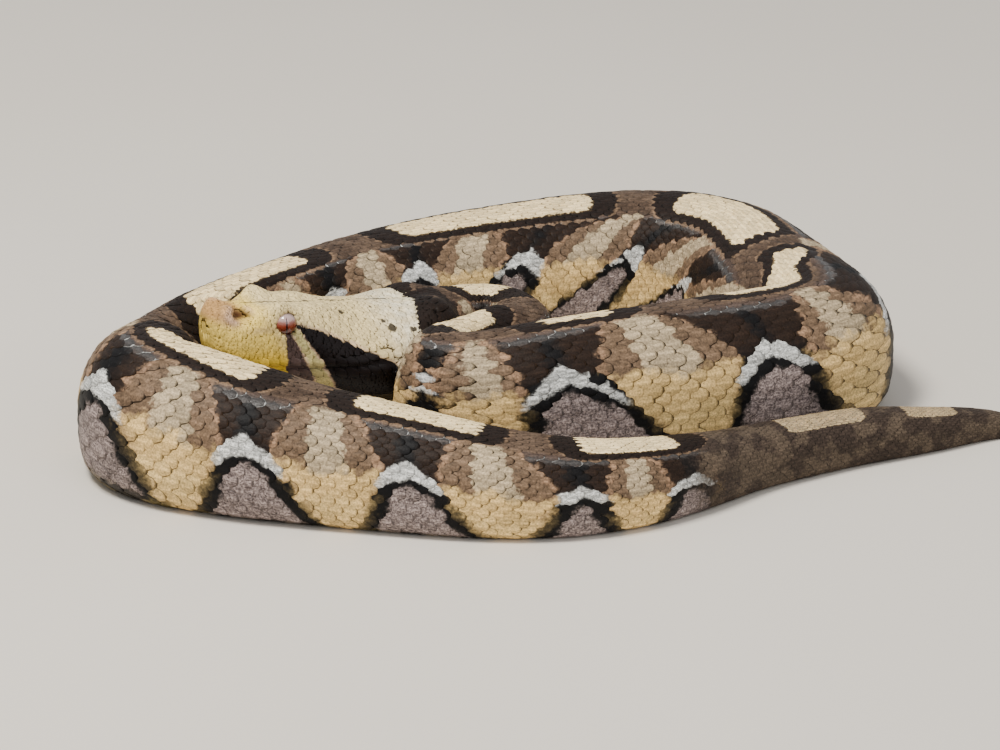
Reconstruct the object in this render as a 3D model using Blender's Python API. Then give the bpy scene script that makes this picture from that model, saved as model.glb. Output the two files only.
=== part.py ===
"""A Gaboon viper at rest in a flat coil, life size, as a still museum model.

The snake is one long loft. A centre line runs over the floor from the tip of the tail to the
nape and straight on to the snout, and an upright section stands on it at every station. The
loft is then parted with thin cuts into lengths of tail, trunk and neck, a head, a lower jaw
and two eyes. Numbers are in millimetres and the model is in metres, with +Z up and the
origin on the floor under the middle of the coil.
"""
import math

import bmesh
import bpy
import numpy as np

MM = 0.001

# ---- driving dimensions ---------------------------------------------------------------

# The middle of the coil's box, in the numbers of the route.
COIL_MIDDLE = (25.5, 41.5)

# Centre line over the floor from the tip of the tail to the nape, with the body's size
# there: (x, y, height of the back, half of the width).
ROUTE = [
    (242, 4, 7.0, 5.0), (226, 1, 12.0, 8.0), (197, -12, 18.0, 11.5), (165, -26, 22.5, 14.0),
    (136, -42, 24.0, 15.0), (108, -61, 26.0, 16.0), (84, -81, 30.5, 18.5),
    (58, -98, 34.5, 21.5), (32, -107, 38.0, 24.0), (5, -108, 41.5, 26.5),
    (-24, -103, 46.0, 29.0), (-54, -95, 50.5, 31.0), (-84, -86, 54.5, 33.5),
    (-112, -76, 60.0, 36.0), (-136, -66, 64.5, 36.0), (-154, -53, 66.5, 34.0),
    (-160, -35, 65.5, 31.5), (-155, -14, 62.5, 31.0), (-147, 8, 60.0, 31.5),
    (-137, 31, 58.0, 33.0), (-120, 60, 56.0, 34.5), (-91, 98, 54.5, 35.0),
    (-50, 138, 54.5, 35.5), (-2, 166, 55.5, 36.0), (40, 179, 57.5, 36.0),
    (70, 181, 59.0, 36.0), (96, 172, 60.5, 35.5), (116, 152, 61.5, 35.0),
    (127, 126, 62.0, 35.0), (136, 101, 62.5, 35.0), (144, 78, 63.0, 35.0),
    (150, 57, 63.0, 35.0), (147, 38, 63.0, 35.0), (132, 25, 63.0, 35.0),
    (106, 13, 63.0, 34.5), (69, -3, 63.0, 33.0), (27, -19, 62.5, 30.5),
    (0, -28, 61.0, 27.0), (-19, -27, 59.5, 24.5), (-28, -13, 57.5, 23.0),
    (-26, 6, 56.0, 21.5), (-14, 24, 54.0, 19.6), (-2, 38, 51.0, 19.5),
    (7, 50, 47.5, 19.5), (9, 65, 45.5, 19.0), (4, 78, 44.5, 19.0), (-7, 84, 44.5, 19.0),
    (-20, 78, 46.0, 19.5), (-31, 64, 49.0, 19.5), (-44, 47, 52.0, 20.0),
]

TAIL_ROUNDING = 5.0              # how far the rounding of the tail's tip reaches

# The head goes straight on from the nape.
HEADING = math.radians(209)      # from +X, counter-clockwise
HEAD_LENGTH = 105.5

# Powers of the body's section above and below its widest level, and how much deeper than
# the floor the lower curve would reach, which leaves the belly flat.
BACK_POWER = 2.1
BELLY_POWER = 4.0
SOLE = 1.08

# Inside a tight bend the flank is squeezed, to stay this many times nearer than its centre.
INSIDE_BEND = 1.2

# Nape and head: way past the nape, half-width, top, underside, shape above, shape below.
# The shape numbers are the powers of the section's curves: 2 is an ellipse, more is boxier.
HEAD = [
    (-34, 19.5, 47.5, 0.0, 2.1, 3.2),
    (-22, 20.0, 49.2, 4.5, 2.1, 2.8),
    (-14, 23.0, 50.8, 8.5, 2.2, 2.5),
    (-6, 28.8, 52.2, 11.0, 2.4, 2.4),
    (4, 34.5, 53.4, 11.5, 2.2, 2.3),
    (16, 37.0, 54.5, 11.5, 1.8, 2.3),
    (27, 37.5, 56.0, 12.5, 1.5, 2.4),
    (40, 34.0, 57.6, 15.5, 1.5, 2.5),
    (52, 28.5, 59.2, 20.0, 1.9, 2.5),
    (63, 23.5, 60.6, 22.5, 2.5, 2.5),
    (72, 20.5, 61.7, 24.5, 2.7, 2.5),
    (82, 18.6, 63.0, 26.5, 2.8, 2.5),
    (92, 17.2, 64.2, 28.0, 2.6, 2.4),
    (108, 15.5, 65.5, 30.0, 2.4, 2.3),
]
SNOUT_LEVEL = 56.0               # height of the foremost point of the snout
SNOUT_PLAN = 17.0                # how far back the snout's rounding reaches, from above,
SNOUT_BROW = 9.0                 # over its top edge,
SNOUT_CHIN = 26.0                # and under it

# Swellings and hollows of the head: middle (forward, aside, up), reach, and how far out.
SWELLINGS = [
    ((73.5, 13.0, 61.0), (6.4, 6.0, 9.0), 6.4),     # brow over each eye
    ((53.0, 15.5, 60.0), (15.0, 9.0, 10.0), 3.6),   # temple
    ((-8.0, 17.0, 50.0), (11.0, 11.0, 16.0), 4.0),  # muscle at the back of the jaw
    ((97.5, 9.5, 64.0), (6.0, 4.5, 6.0), 1.6),      # raised edge over the nostril
]
FURROWS = [
    ((2.0, 0.0, 53.0), (20.0, 6.0, 20.0), -1.6),
    ((52.0, 0.0, 60.0), (26.0, 5.5, 20.0), -1.0),
]

EYE_RADIUS = 5.4
EYE_PLACE = (71.6, 16.2, 55.8)   # forward, aside, up

# Soft flesh yields to the head that lies on it: how clear of the head it stays, how far
# along and round the body the hollow eases out, and the length of body that can yield.
HEAD_CLEARANCE = 2.1
HOLLOW_ALONG = 8.0
HOLLOW_ROUND = 6
YIELDS_UP_TO = 43                # point of the route

# The mouth's line, forward and up, from before the snout to the corner of the jaw.
MOUTH = [(118, 39), (104, 38.5), (90, 37), (74, 35.5), (58, 34.5), (42, 34.5), (30, 36),
         (20, 34.5), (12, 28), (8, 19), (8, 4)]

PARTING = 0.3                    # gap between two lengths

# Lengths of the loft: name, the points of the route where it starts and ends, and about
# how far apart its sections are.
LENGTHS = [
    ("tail_tip", 0, 3, 12), ("tail", 3, 5, 14),
    ("trunk_1", 5, 10, 14), ("trunk_2", 10, 14, 14), ("trunk_3", 14, 19, 9),
    ("trunk_4", 19, 22, 14), ("trunk_5", 22, 26, 14), ("trunk_6", 26, 30, 12),
    ("trunk_7", 30, 34, 9), ("trunk_8", 34, 37, 14), ("trunk_9", 37, 40, 6),
    ("neck_1", 40, 43, 5), ("neck_2", 43, 46, 5), ("neck_3", 46, 48, 5),
]
SIDES = 24
HEAD_SIDES = 30


# ---- curves ---------------------------------------------------------------------------

def natural_spline(points, per_span=30):
    """Samples of a natural cubic spline through the points."""
    pts = np.array(points, float)
    h = np.linalg.norm(np.diff(pts, axis=0), axis=1)
    count = len(pts)
    matrix = np.eye(count)
    right = np.zeros_like(pts)
    for i in range(1, count - 1):
        matrix[i, i - 1:i + 2] = h[i - 1], 2 * (h[i - 1] + h[i]), h[i]
        right[i] = 6 * ((pts[i + 1] - pts[i]) / h[i] - (pts[i] - pts[i - 1]) / h[i - 1])
    bend = np.linalg.solve(matrix, right)
    samples = []
    for i in range(count - 1):
        slope = (pts[i + 1] - pts[i]) / h[i] - h[i] * (2 * bend[i] + bend[i + 1]) / 6
        cubic = (bend[i + 1] - bend[i]) / (6 * h[i])
        for x in np.arange(per_span) * h[i] / per_span:
            samples.append(pts[i] + slope * x + bend[i] * x * x / 2 + cubic * x ** 3)
    samples.append(pts[-1])
    return np.array(samples)


def eased(x, xs, ys):
    """A smooth curve through a table, which never overshoots its values."""
    xs = np.asarray(xs, float)
    ys = np.asarray(ys, float)
    rise = np.diff(ys) / np.diff(xs)
    slope = np.zeros(len(xs))
    same_way = rise[:-1] * rise[1:] > 0
    mean = 2 * rise[:-1] * rise[1:] / np.where(same_way, rise[:-1] + rise[1:], 1)
    slope[1:-1] = np.where(same_way, mean, 0)
    slope[0], slope[-1] = rise[0], rise[-1]
    x = np.clip(x, xs[0], xs[-1])
    i = np.clip(np.searchsorted(xs, x, side="right") - 1, 0, len(xs) - 2)
    width = xs[i + 1] - xs[i]
    t = (x - xs[i]) / width
    return (ys[i] * (1 + 2 * t) * (1 - t) ** 2 + ys[i + 1] * t * t * (3 - 2 * t)
            + width * (slope[i] * t * (1 - t) ** 2 - slope[i + 1] * t * t * (1 - t)))


# ---- the snake's centre line and sections ---------------------------------------------

def centre_line():
    """Way, place, heading and bend along the centre line, every millimetre, to the snout."""
    body = natural_spline([point[:2] for point in ROUTE])
    forward = np.array([math.cos(HEADING), math.sin(HEADING)])
    ahead = body[-1] + np.outer(np.arange(1, HEAD_LENGTH + 6), forward)
    line = np.vstack([body, ahead])
    way = np.concatenate([[0], np.cumsum(np.linalg.norm(np.diff(line, axis=0), axis=1))])
    even = np.arange(0.0, way[-1])
    place = np.stack([np.interp(even, way, line[:, k]) for k in (0, 1)], axis=1)
    step = np.gradient(place, axis=0)
    heading = np.unwrap(np.arctan2(step[:, 1], step[:, 0]))
    window = np.hanning(23)
    window /= window.sum()
    padded = np.pad(heading, 11, mode="edge")
    heading = np.convolve(padded, window, mode="valid")
    return even, place, heading, np.gradient(heading)


WAY, PLACE, TURN, BEND = centre_line()
STOPS = [float(WAY[np.hypot(*(PLACE - point[:2]).T).argmin()]) for point in ROUTE]
NAPE = STOPS[-1]


def at(way, values):
    return np.interp(way, WAY, values)


def tip_rounding(x, reach, power):
    """1 behind the rounding of the snout, falling to 0 at its very tip."""
    t = np.clip((x - (HEAD_LENGTH - reach)) / reach, 0, 1)
    return (1 - t ** power) ** (1 / power)


def section_sizes(way):
    """Half-width, top, underside and the two shape powers at a way along the snake."""
    past_nape = way - NAPE
    table = np.array(HEAD, float)
    half, top, under, above, below = (eased(past_nape, table[:, 0], table[:, k])
                                      for k in range(1, 6))
    if past_nape < HEAD[0][0]:
        top = eased(way, STOPS, [point[2] for point in ROUTE])
        half = eased(way, STOPS, [point[3] for point in ROUTE])
        under, above, below = 0.0, BACK_POWER, BELLY_POWER
        blunt = math.sqrt(1 - (1 - min(way / TAIL_ROUNDING + 0.01, 1)) ** 2)
        top, half = top * blunt, half * blunt
    if past_nape > HEAD_LENGTH - SNOUT_CHIN:
        half = half * tip_rounding(past_nape, SNOUT_PLAN, 2.3)
        top = SNOUT_LEVEL + (top - SNOUT_LEVEL) * tip_rounding(past_nape, SNOUT_BROW, 2.4)
        under = SNOUT_LEVEL + (under - SNOUT_LEVEL) * tip_rounding(past_nape, SNOUT_CHIN, 2.6)
    return float(half), float(top), float(under), float(above), float(below)


def outline(way, around):
    """Points of a section, aside and up, at fractions of its outline (0 is the back)."""
    half, top, under, above, below = section_sizes(way)
    waist = under + 0.43 * (top - under)
    t = np.linspace(0, math.pi, 181)
    power = np.where(t < math.pi / 2, above, below)
    aside = half * np.sin(t) ** (2 / power)
    rise = np.abs(np.cos(t)) ** (2 / power)
    sole = SOLE if under < 1 else 1.0
    up = np.where(t < math.pi / 2, waist + (top - waist) * rise,
                  waist - (waist - under) * sole * rise)
    up = np.maximum(up, under)
    along = np.concatenate([[0], np.cumsum(np.hypot(np.diff(aside), np.diff(up)))])
    along /= along[-1]
    side = np.abs(around)
    return np.sign(around) * np.interp(side, along, aside), np.interp(side, along, up)


def head_frame():
    """Origin, forward and left of the head, on the floor."""
    origin = np.array([at(NAPE, PLACE[:, 0]), at(NAPE, PLACE[:, 1])])
    forward = np.array([math.cos(HEADING), math.sin(HEADING)])
    return origin, forward, np.array([-forward[1], forward[0]])


def to_head(points):
    origin, forward, left = head_frame()
    flat = points[:, :2] - origin
    return np.stack([flat @ forward, flat @ left, points[:, 2]], axis=1)


def from_head(points):
    origin, forward, left = head_frame()
    points = np.asarray(points, float)
    flat = origin + np.outer(points[:, 0], forward) + np.outer(points[:, 1], left)
    return np.column_stack([flat, points[:, 2]])


def swell(points):
    """The head's swellings and furrows, on points in the head's own frame."""
    moved = points.copy()
    for middle, reach, out in SWELLINGS + FURROWS:
        for side in ((1, -1) if middle[1] else (1,)):
            off = (points - np.array(middle) * (1, side, 1)) / reach
            push = out * np.exp(-(off ** 2).sum(axis=1))
            moved[:, 2] += 0.9 * push
            moved[:, 1] += 0.45 * push * side * (middle[1] > 0)
    return moved


def plain_ring(way, around):
    """One section of the snake before the head's shapes or its weight act on it."""
    aside, up = outline(way, around)
    inner = np.maximum(INSIDE_BEND * aside * at(way, BEND), 0)
    aside = aside / (1 + inner ** 3) ** (1 / 3)
    heading = at(way, TURN)
    left = np.array([-math.sin(heading), math.cos(heading)])
    middle = np.array([at(way, PLACE[:, 0]), at(way, PLACE[:, 1])])
    return np.column_stack([middle + np.outer(aside, left), up])


def core_of(way):
    """The middle of a section, level with its widest part."""
    _, top, under, _, _ = section_sizes(way)
    return np.array([at(way, PLACE[:, 0]), at(way, PLACE[:, 1]), under + 0.43 * (top - under)])


def filled_by_head(points):
    """True for points in the head or closer to it than its clearance."""
    local = to_head(points)
    local = 2 * local - swell(local)
    stations = np.arange(-22.0, HEAD_LENGTH)
    sizes = np.array([section_sizes(NAPE + x) for x in stations])
    half, top, under, above, below = (np.interp(local[:, 0], stations, sizes[:, k])
                                      for k in range(5))
    waist = under + 0.43 * (top - under)
    rise = local[:, 2] - waist
    reach = np.where(rise > 0, top - waist, waist - under) + HEAD_CLEARANCE
    power = np.where(rise > 0, above, below)
    within = ((np.abs(local[:, 1]) / (half + HEAD_CLEARANCE)) ** power
              + (np.abs(rise) / reach) ** power) < 1
    ahead = (local[:, 0] > stations[0]) & (local[:, 0] < HEAD_LENGTH + HEAD_CLEARANCE)
    return within & ahead


def hollow_table():
    """How much of each radius of the body is left where the head presses on it."""
    ways = np.arange(STOPS[12], STOPS[YIELDS_UP_TO] + 2, 2.0)
    around = np.linspace(-1, 1, 97)
    shares = np.linspace(0, 1, 51)
    kept = np.ones((len(ways), len(around)))
    for i, way in enumerate(ways):
        core = core_of(way)
        radii = plain_ring(way, around) - core
        tried = core + shares[:, None, None] * radii[None]
        hit = filled_by_head(tried.reshape(-1, 3)).reshape(len(shares), len(around))
        kept[i] = np.where(hit.any(axis=0), shares[np.maximum(hit.argmax(axis=0) - 1, 0)], 1)
    reach = int(HOLLOW_ALONG / 2)
    window = np.outer(np.hanning(2 * reach + 3)[1:-1], np.hanning(2 * HOLLOW_ROUND + 3)[1:-1])
    window /= window.sum()
    offsets = [(i, j) for i in range(2 * reach + 1) for j in range(2 * HOLLOW_ROUND + 1)]
    for soften in (False, True):
        wide = np.pad(kept, ((reach, reach), (0, 0)), mode="edge")
        wide = np.hstack([wide[:, -1 - HOLLOW_ROUND:-1], wide, wide[:, 1:1 + HOLLOW_ROUND]])
        parts = [wide[i:i + kept.shape[0], j:j + kept.shape[1]] for i, j in offsets]
        if soften:
            kept = sum(window[i, j] * part for (i, j), part in zip(offsets, parts))
        else:
            kept = np.minimum.reduce(parts)
    return ways, around, kept


HOLLOW = hollow_table()


def ring(way, around):
    """One closed section of the snake, in millimetres, at fractions round its outline."""
    points = plain_ring(way, around)
    if way > NAPE - 30:
        return from_head(swell(to_head(points)))
    ways, columns, kept = HOLLOW
    if not ways[0] < way < ways[-1]:
        return points
    i = min(int((way - ways[0]) / 2), len(ways) - 2)
    t = (way - ways[i]) / 2
    share = np.interp(around, columns, kept[i] * (1 - t) + kept[i + 1] * t)
    core = core_of(way)
    return core + share[:, None] * (points - core)


# ---- making the pieces ----------------------------------------------------------------

def to_model(points):
    shift = np.array([COIL_MIDDLE[0], COIL_MIDDLE[1], 0])
    return (np.asarray(points, float) - shift) * MM


def make_object(name, points, faces, collection):
    mesh = bpy.data.meshes.new(name)
    mesh.from_pydata([tuple(p) for p in points], [], faces)
    mesh.validate()
    form = bmesh.new()
    form.from_mesh(mesh)
    bmesh.ops.remove_doubles(form, verts=form.verts, dist=0.00002)
    bmesh.ops.recalc_face_normals(form, faces=form.faces)
    form.to_mesh(mesh)
    form.free()
    mesh.shade_smooth()
    made = bpy.data.objects.new(name, mesh)
    collection.objects.link(made)
    return made


def loft(name, ways, collection, sides=SIDES):
    """A closed solid through the sections at the given ways."""
    around = (np.arange(sides) + 0.5) / sides * 2 - 1
    rings = [to_model(ring(way, around)) for way in ways]
    points = np.vstack(rings)
    faces = []
    for i in range(len(ways) - 1):
        for j in range(sides):
            k = (j + 1) % sides
            faces.append((i * sides + j, i * sides + k,
                          (i + 1) * sides + k, (i + 1) * sides + j))
    faces.append(tuple(range(sides)))
    faces.append(tuple(range((len(ways) - 1) * sides, len(ways) * sides)))
    return make_object(name, points, faces, collection)


def spans(start, end, step):
    return np.linspace(start, end, max(2, round((end - start) / step) + 1))


def material(name, colour, roughness):
    made = bpy.data.materials.new(name)
    made.use_nodes = True
    shader = made.node_tree.nodes["Principled BSDF"]
    shader.inputs["Base Color"].default_value = (*colour, 1)
    shader.inputs["Roughness"].default_value = roughness
    made.diffuse_color = (*colour, 1)
    return made


def boolean(target, cutter, operation):
    cut = target.modifiers.new(operation.title(), "BOOLEAN")
    cut.operation = operation
    cut.object = cutter
    cut.solver = "EXACT"


def mouth_cutter(name, drop, collection):
    """A block under the line of the mouth, from the snout back to the corner of the jaw."""
    line = [(x + drop * 0.5, z - drop) for x, z in MOUTH]
    outer = [(118, -10), (8 + drop * 0.5, -10)]
    profile = line + outer[::-1]
    reach = 60
    points = from_head([(x, y, z) for y in (-reach, reach) for x, z in profile])
    count = len(profile)
    faces = [tuple(range(count)), tuple(range(count, 2 * count))]
    for i in range(count):
        j = (i + 1) % count
        faces.append((i, j, count + j, count + i))
    made = make_object(name, to_model(points), faces, collection)
    made.hide_render = True
    made.display_type = "WIRE"
    return made


def eyeball(name, side, radius, collection):
    forward, aside, up = EYE_PLACE
    centre = to_model(from_head([(forward, side * aside, up)]))[0]
    bpy.ops.mesh.primitive_uv_sphere_add(segments=16, ring_count=10, radius=radius * MM,
                                         location=centre)
    made = bpy.context.object
    made.name = name
    made.data.name = name
    made.data.shade_smooth()
    for holder in list(made.users_collection):
        holder.objects.unlink(made)
    collection.objects.link(made)
    return made


def build():
    for old in list(bpy.data.objects):
        bpy.data.objects.remove(old)
    snake = bpy.data.collections.new("coiled_snake")
    cutters = bpy.data.collections.new("cutters")
    for collection in (snake, cutters):
        bpy.context.scene.collection.children.link(collection)

    scales = material("patterned_scales", (0.33, 0.24, 0.16), 0.6)
    pale = material("pale_head_scales", (0.62, 0.50, 0.32), 0.6)
    eye = material("eye", (0.30, 0.16, 0.12), 0.1)

    for name, first, last, step in LENGTHS:
        start = STOPS[first] + PARTING / 2 if first else TAIL_ROUNDING
        ways = spans(start, STOPS[last] - PARTING / 2, step)
        if not first:
            ways = np.concatenate([TAIL_ROUNDING * np.array([0.0, 0.08, 0.35]), ways])
        piece = loft(name, ways, snake)
        piece.data.materials.append(scales)

    head_start = STOPS[LENGTHS[-1][2]] + PARTING / 2
    behind = spans(head_start, NAPE + HEAD_LENGTH - 24, 5.0)
    snout = NAPE + HEAD_LENGTH - 24 * (1 - np.sin(np.linspace(0, math.pi / 2, 10)[1:]))
    snout[-1] -= 0.05
    ways = np.concatenate([behind, snout])
    head = loft("head", ways, snake, HEAD_SIDES)
    jaw = loft("lower_jaw", ways, snake, HEAD_SIDES)
    boolean(head, mouth_cutter("above_the_mouth", 0, cutters), "DIFFERENCE")
    boolean(jaw, mouth_cutter("below_the_mouth", PARTING, cutters), "INTERSECT")
    for piece in (head, jaw):
        piece.data.materials.append(pale)

    for name, side in (("eye_left", 1), ("eye_right", -1)):
        ball = eyeball(name, side, EYE_RADIUS, snake)
        ball.data.materials.append(eye)
        socket = eyeball(name + "_socket", side, EYE_RADIUS + PARTING, cutters)
        socket.hide_render = True
        socket.display_type = "WIRE"
        boolean(head, socket, "DIFFERENCE")


build()
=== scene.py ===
"""The looks of the coiled Gaboon viper: skin, scales and eyes, in a plain studio.

The skin follows the same centre line and sections as the solids, drawn finer and a scale's
depth inside them. A place on it has two numbers: way, in millimetres along the centre line
from the tip of the tail, and around, which is 0 on top of the back and 1 or -1 under the
belly, with the left side positive. The markings are functions of these two, and the skin
and its scales both take their colours from them. Lengths are in millimetres, in the
numbers of the route, until the last step, which turns them into metres in the frame.
"""
import functools
import math

import bpy
import numpy as np
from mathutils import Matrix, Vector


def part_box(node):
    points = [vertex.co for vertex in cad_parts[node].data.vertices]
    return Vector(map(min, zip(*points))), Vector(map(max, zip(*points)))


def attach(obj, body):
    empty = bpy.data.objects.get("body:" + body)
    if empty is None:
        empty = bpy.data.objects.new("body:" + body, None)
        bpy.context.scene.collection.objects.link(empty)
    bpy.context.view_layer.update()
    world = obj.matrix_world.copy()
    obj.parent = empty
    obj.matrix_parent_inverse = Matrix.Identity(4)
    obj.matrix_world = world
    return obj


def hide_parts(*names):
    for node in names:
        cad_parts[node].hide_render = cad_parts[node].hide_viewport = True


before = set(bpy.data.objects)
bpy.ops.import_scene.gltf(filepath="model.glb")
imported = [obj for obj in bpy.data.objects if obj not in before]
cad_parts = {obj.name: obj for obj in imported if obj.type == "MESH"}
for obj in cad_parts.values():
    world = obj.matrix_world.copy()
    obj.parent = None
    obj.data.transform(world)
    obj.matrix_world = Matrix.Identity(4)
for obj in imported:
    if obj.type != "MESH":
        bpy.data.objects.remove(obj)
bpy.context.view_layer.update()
bpy.ops.object.select_all(action="DESELECT")

MM = 0.001

# ---- the snake's sizes, as in the solids ----------------------------------------------

# The middle of the coil's box, in the numbers of the route.
COIL_MIDDLE = (25.5, 41.5)

# Centre line over the floor from the tip of the tail to the nape, with the body's size
# there: (x, y, height of the back, half of the width).
ROUTE = [
    (242, 4, 7.0, 5.0), (226, 1, 12.0, 8.0), (197, -12, 18.0, 11.5), (165, -26, 22.5, 14.0),
    (136, -42, 24.0, 15.0), (108, -61, 26.0, 16.0), (84, -81, 30.5, 18.5),
    (58, -98, 34.5, 21.5), (32, -107, 38.0, 24.0), (5, -108, 41.5, 26.5),
    (-24, -103, 46.0, 29.0), (-54, -95, 50.5, 31.0), (-84, -86, 54.5, 33.5),
    (-112, -76, 60.0, 36.0), (-136, -66, 64.5, 36.0), (-154, -53, 66.5, 34.0),
    (-160, -35, 65.5, 31.5), (-155, -14, 62.5, 31.0), (-147, 8, 60.0, 31.5),
    (-137, 31, 58.0, 33.0), (-120, 60, 56.0, 34.5), (-91, 98, 54.5, 35.0),
    (-50, 138, 54.5, 35.5), (-2, 166, 55.5, 36.0), (40, 179, 57.5, 36.0),
    (70, 181, 59.0, 36.0), (96, 172, 60.5, 35.5), (116, 152, 61.5, 35.0),
    (127, 126, 62.0, 35.0), (136, 101, 62.5, 35.0), (144, 78, 63.0, 35.0),
    (150, 57, 63.0, 35.0), (147, 38, 63.0, 35.0), (132, 25, 63.0, 35.0),
    (106, 13, 63.0, 34.5), (69, -3, 63.0, 33.0), (27, -19, 62.5, 30.5),
    (0, -28, 61.0, 27.0), (-19, -27, 59.5, 24.5), (-28, -13, 57.5, 23.0),
    (-26, 6, 56.0, 21.5), (-14, 24, 54.0, 19.6), (-2, 38, 51.0, 19.5),
    (7, 50, 47.5, 19.5), (9, 65, 45.5, 19.0), (4, 78, 44.5, 19.0), (-7, 84, 44.5, 19.0),
    (-20, 78, 46.0, 19.5), (-31, 64, 49.0, 19.5), (-44, 47, 52.0, 20.0),
]

TAIL_ROUNDING = 5.0              # how far the rounding of the tail's tip reaches
TURN_SOFTENING = 11              # the heading is evened out over this much on either side

# The head goes straight on from the nape.
HEADING = math.radians(209)      # from +X, counter-clockwise
HEAD_LENGTH = 105.5

# Powers of the body's section above and below its widest level, and how much deeper than
# the floor the lower curve would reach, which leaves the belly flat.
BACK_POWER = 2.1
BELLY_POWER = 4.0
SOLE = 1.08
WIDEST_LEVEL = 0.43              # how high a section is widest, as a share of its height

# Inside a tight bend the flank is squeezed, to stay this many times nearer than its centre.
INSIDE_BEND = 1.2

# Nape and head: way past the nape, half-width, top, underside, shape above, shape below.
# The shape numbers are the powers of the section's curves: 2 is an ellipse, more is boxier.
HEAD = [
    (-34, 19.5, 47.5, 0.0, 2.1, 3.2),
    (-22, 20.0, 49.2, 4.5, 2.1, 2.8),
    (-14, 23.0, 50.8, 8.5, 2.2, 2.5),
    (-6, 28.8, 52.2, 11.0, 2.4, 2.4),
    (4, 34.5, 53.4, 11.5, 2.2, 2.3),
    (16, 37.0, 54.5, 11.5, 1.8, 2.3),
    (27, 37.5, 56.0, 12.5, 1.5, 2.4),
    (40, 34.0, 57.6, 15.5, 1.5, 2.5),
    (52, 28.5, 59.2, 20.0, 1.9, 2.5),
    (63, 23.5, 60.6, 22.5, 2.5, 2.5),
    (72, 20.5, 61.7, 24.5, 2.7, 2.5),
    (82, 18.6, 63.0, 26.5, 2.8, 2.5),
    (92, 17.2, 64.2, 28.0, 2.6, 2.4),
    (108, 15.5, 65.5, 30.0, 2.4, 2.3),
]
SNOUT_LEVEL = 56.0               # height of the foremost point of the snout
SNOUT_PLAN = (17.0, 2.3)         # how far back the snout's rounding reaches, and its power:
SNOUT_BROW = (9.0, 2.4)          # from above, over its top edge and under it
SNOUT_CHIN = (26.0, 2.6)

# Swellings and furrows of the head: middle (forward, aside, up), reach, and how far out.
SWELLINGS = [
    ((73.5, 13.0, 61.0), (6.4, 6.0, 9.0), 6.4),     # brow over each eye
    ((53.0, 15.5, 60.0), (15.0, 9.0, 10.0), 3.6),   # temple
    ((-8.0, 17.0, 50.0), (11.0, 11.0, 16.0), 4.0),  # muscle at the back of the jaw
    ((97.5, 9.5, 64.0), (6.0, 4.5, 6.0), 1.6),      # raised edge over the nostril
    ((2.0, 0.0, 53.0), (20.0, 6.0, 20.0), -1.6),    # furrow between the jaw's muscles
    ((52.0, 0.0, 60.0), (26.0, 5.5, 20.0), -1.0),   # furrow along the crown
]
SWELL_UP = 0.9                   # how much of a swelling goes up, and how much aside
SWELL_ASIDE = 0.45

EYE_RADIUS = 5.4
EYE_PLACE = (71.6, 16.2, 55.8)   # forward, aside, up

# Soft flesh yields to the head that lies on it: how clear of the head it stays, how far
# along and round the body the hollow eases out, and the length of body that can yield.
HEAD_CLEARANCE = 2.1
PRESSES_FROM = -22.0             # where the pressing part of the head starts, past the nape
HOLLOW_STEP = 2.0
HOLLOW_COLUMNS = 97              # directions tried round the body, and steps of each radius
HOLLOW_SHARES = 51
HOLLOW_ALONG = 8.0
HOLLOW_ROUND = 6
YIELDS_BETWEEN = (12, 43)        # points of the route

# The mouth's line, forward and up, from the corner of the jaw to before the snout.
MOUTH = [(20, 34.5), (30, 36), (42, 34.5), (58, 34.5), (74, 35.5), (90, 37), (104, 38.5),
         (118, 39)]


# ---- curves ---------------------------------------------------------------------------

def natural_spline(points, per_span=30):
    """Samples of a natural cubic spline through the points."""
    pts = np.array(points, float)
    h = np.linalg.norm(np.diff(pts, axis=0), axis=1)
    count = len(pts)
    matrix = np.eye(count)
    right = np.zeros_like(pts)
    for i in range(1, count - 1):
        matrix[i, i - 1:i + 2] = h[i - 1], 2 * (h[i - 1] + h[i]), h[i]
        right[i] = 6 * ((pts[i + 1] - pts[i]) / h[i] - (pts[i] - pts[i - 1]) / h[i - 1])
    bend = np.linalg.solve(matrix, right)
    samples = []
    for i in range(count - 1):
        slope = (pts[i + 1] - pts[i]) / h[i] - h[i] * (2 * bend[i] + bend[i + 1]) / 6
        cubic = (bend[i + 1] - bend[i]) / (6 * h[i])
        for x in np.arange(per_span) * h[i] / per_span:
            samples.append(pts[i] + slope * x + bend[i] * x * x / 2 + cubic * x ** 3)
    samples.append(pts[-1])
    return np.array(samples)


def eased(x, xs, ys):
    """A smooth curve through a table, which never overshoots its values."""
    xs = np.asarray(xs, float)
    ys = np.asarray(ys, float)
    rise = np.diff(ys) / np.diff(xs)
    slope = np.zeros(len(xs))
    same_way = rise[:-1] * rise[1:] > 0
    mean = 2 * rise[:-1] * rise[1:] / np.where(same_way, rise[:-1] + rise[1:], 1)
    slope[1:-1] = np.where(same_way, mean, 0)
    slope[0], slope[-1] = rise[0], rise[-1]
    x = np.clip(x, xs[0], xs[-1])
    i = np.clip(np.searchsorted(xs, x, side="right") - 1, 0, len(xs) - 2)
    width = xs[i + 1] - xs[i]
    t = (x - xs[i]) / width
    return (ys[i] * (1 + 2 * t) * (1 - t) ** 2 + ys[i + 1] * t * t * (3 - 2 * t)
            + width * (slope[i] * t * (1 - t) ** 2 - slope[i + 1] * t * t * (1 - t)))


# ---- the snake's centre line and sections ---------------------------------------------

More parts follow.
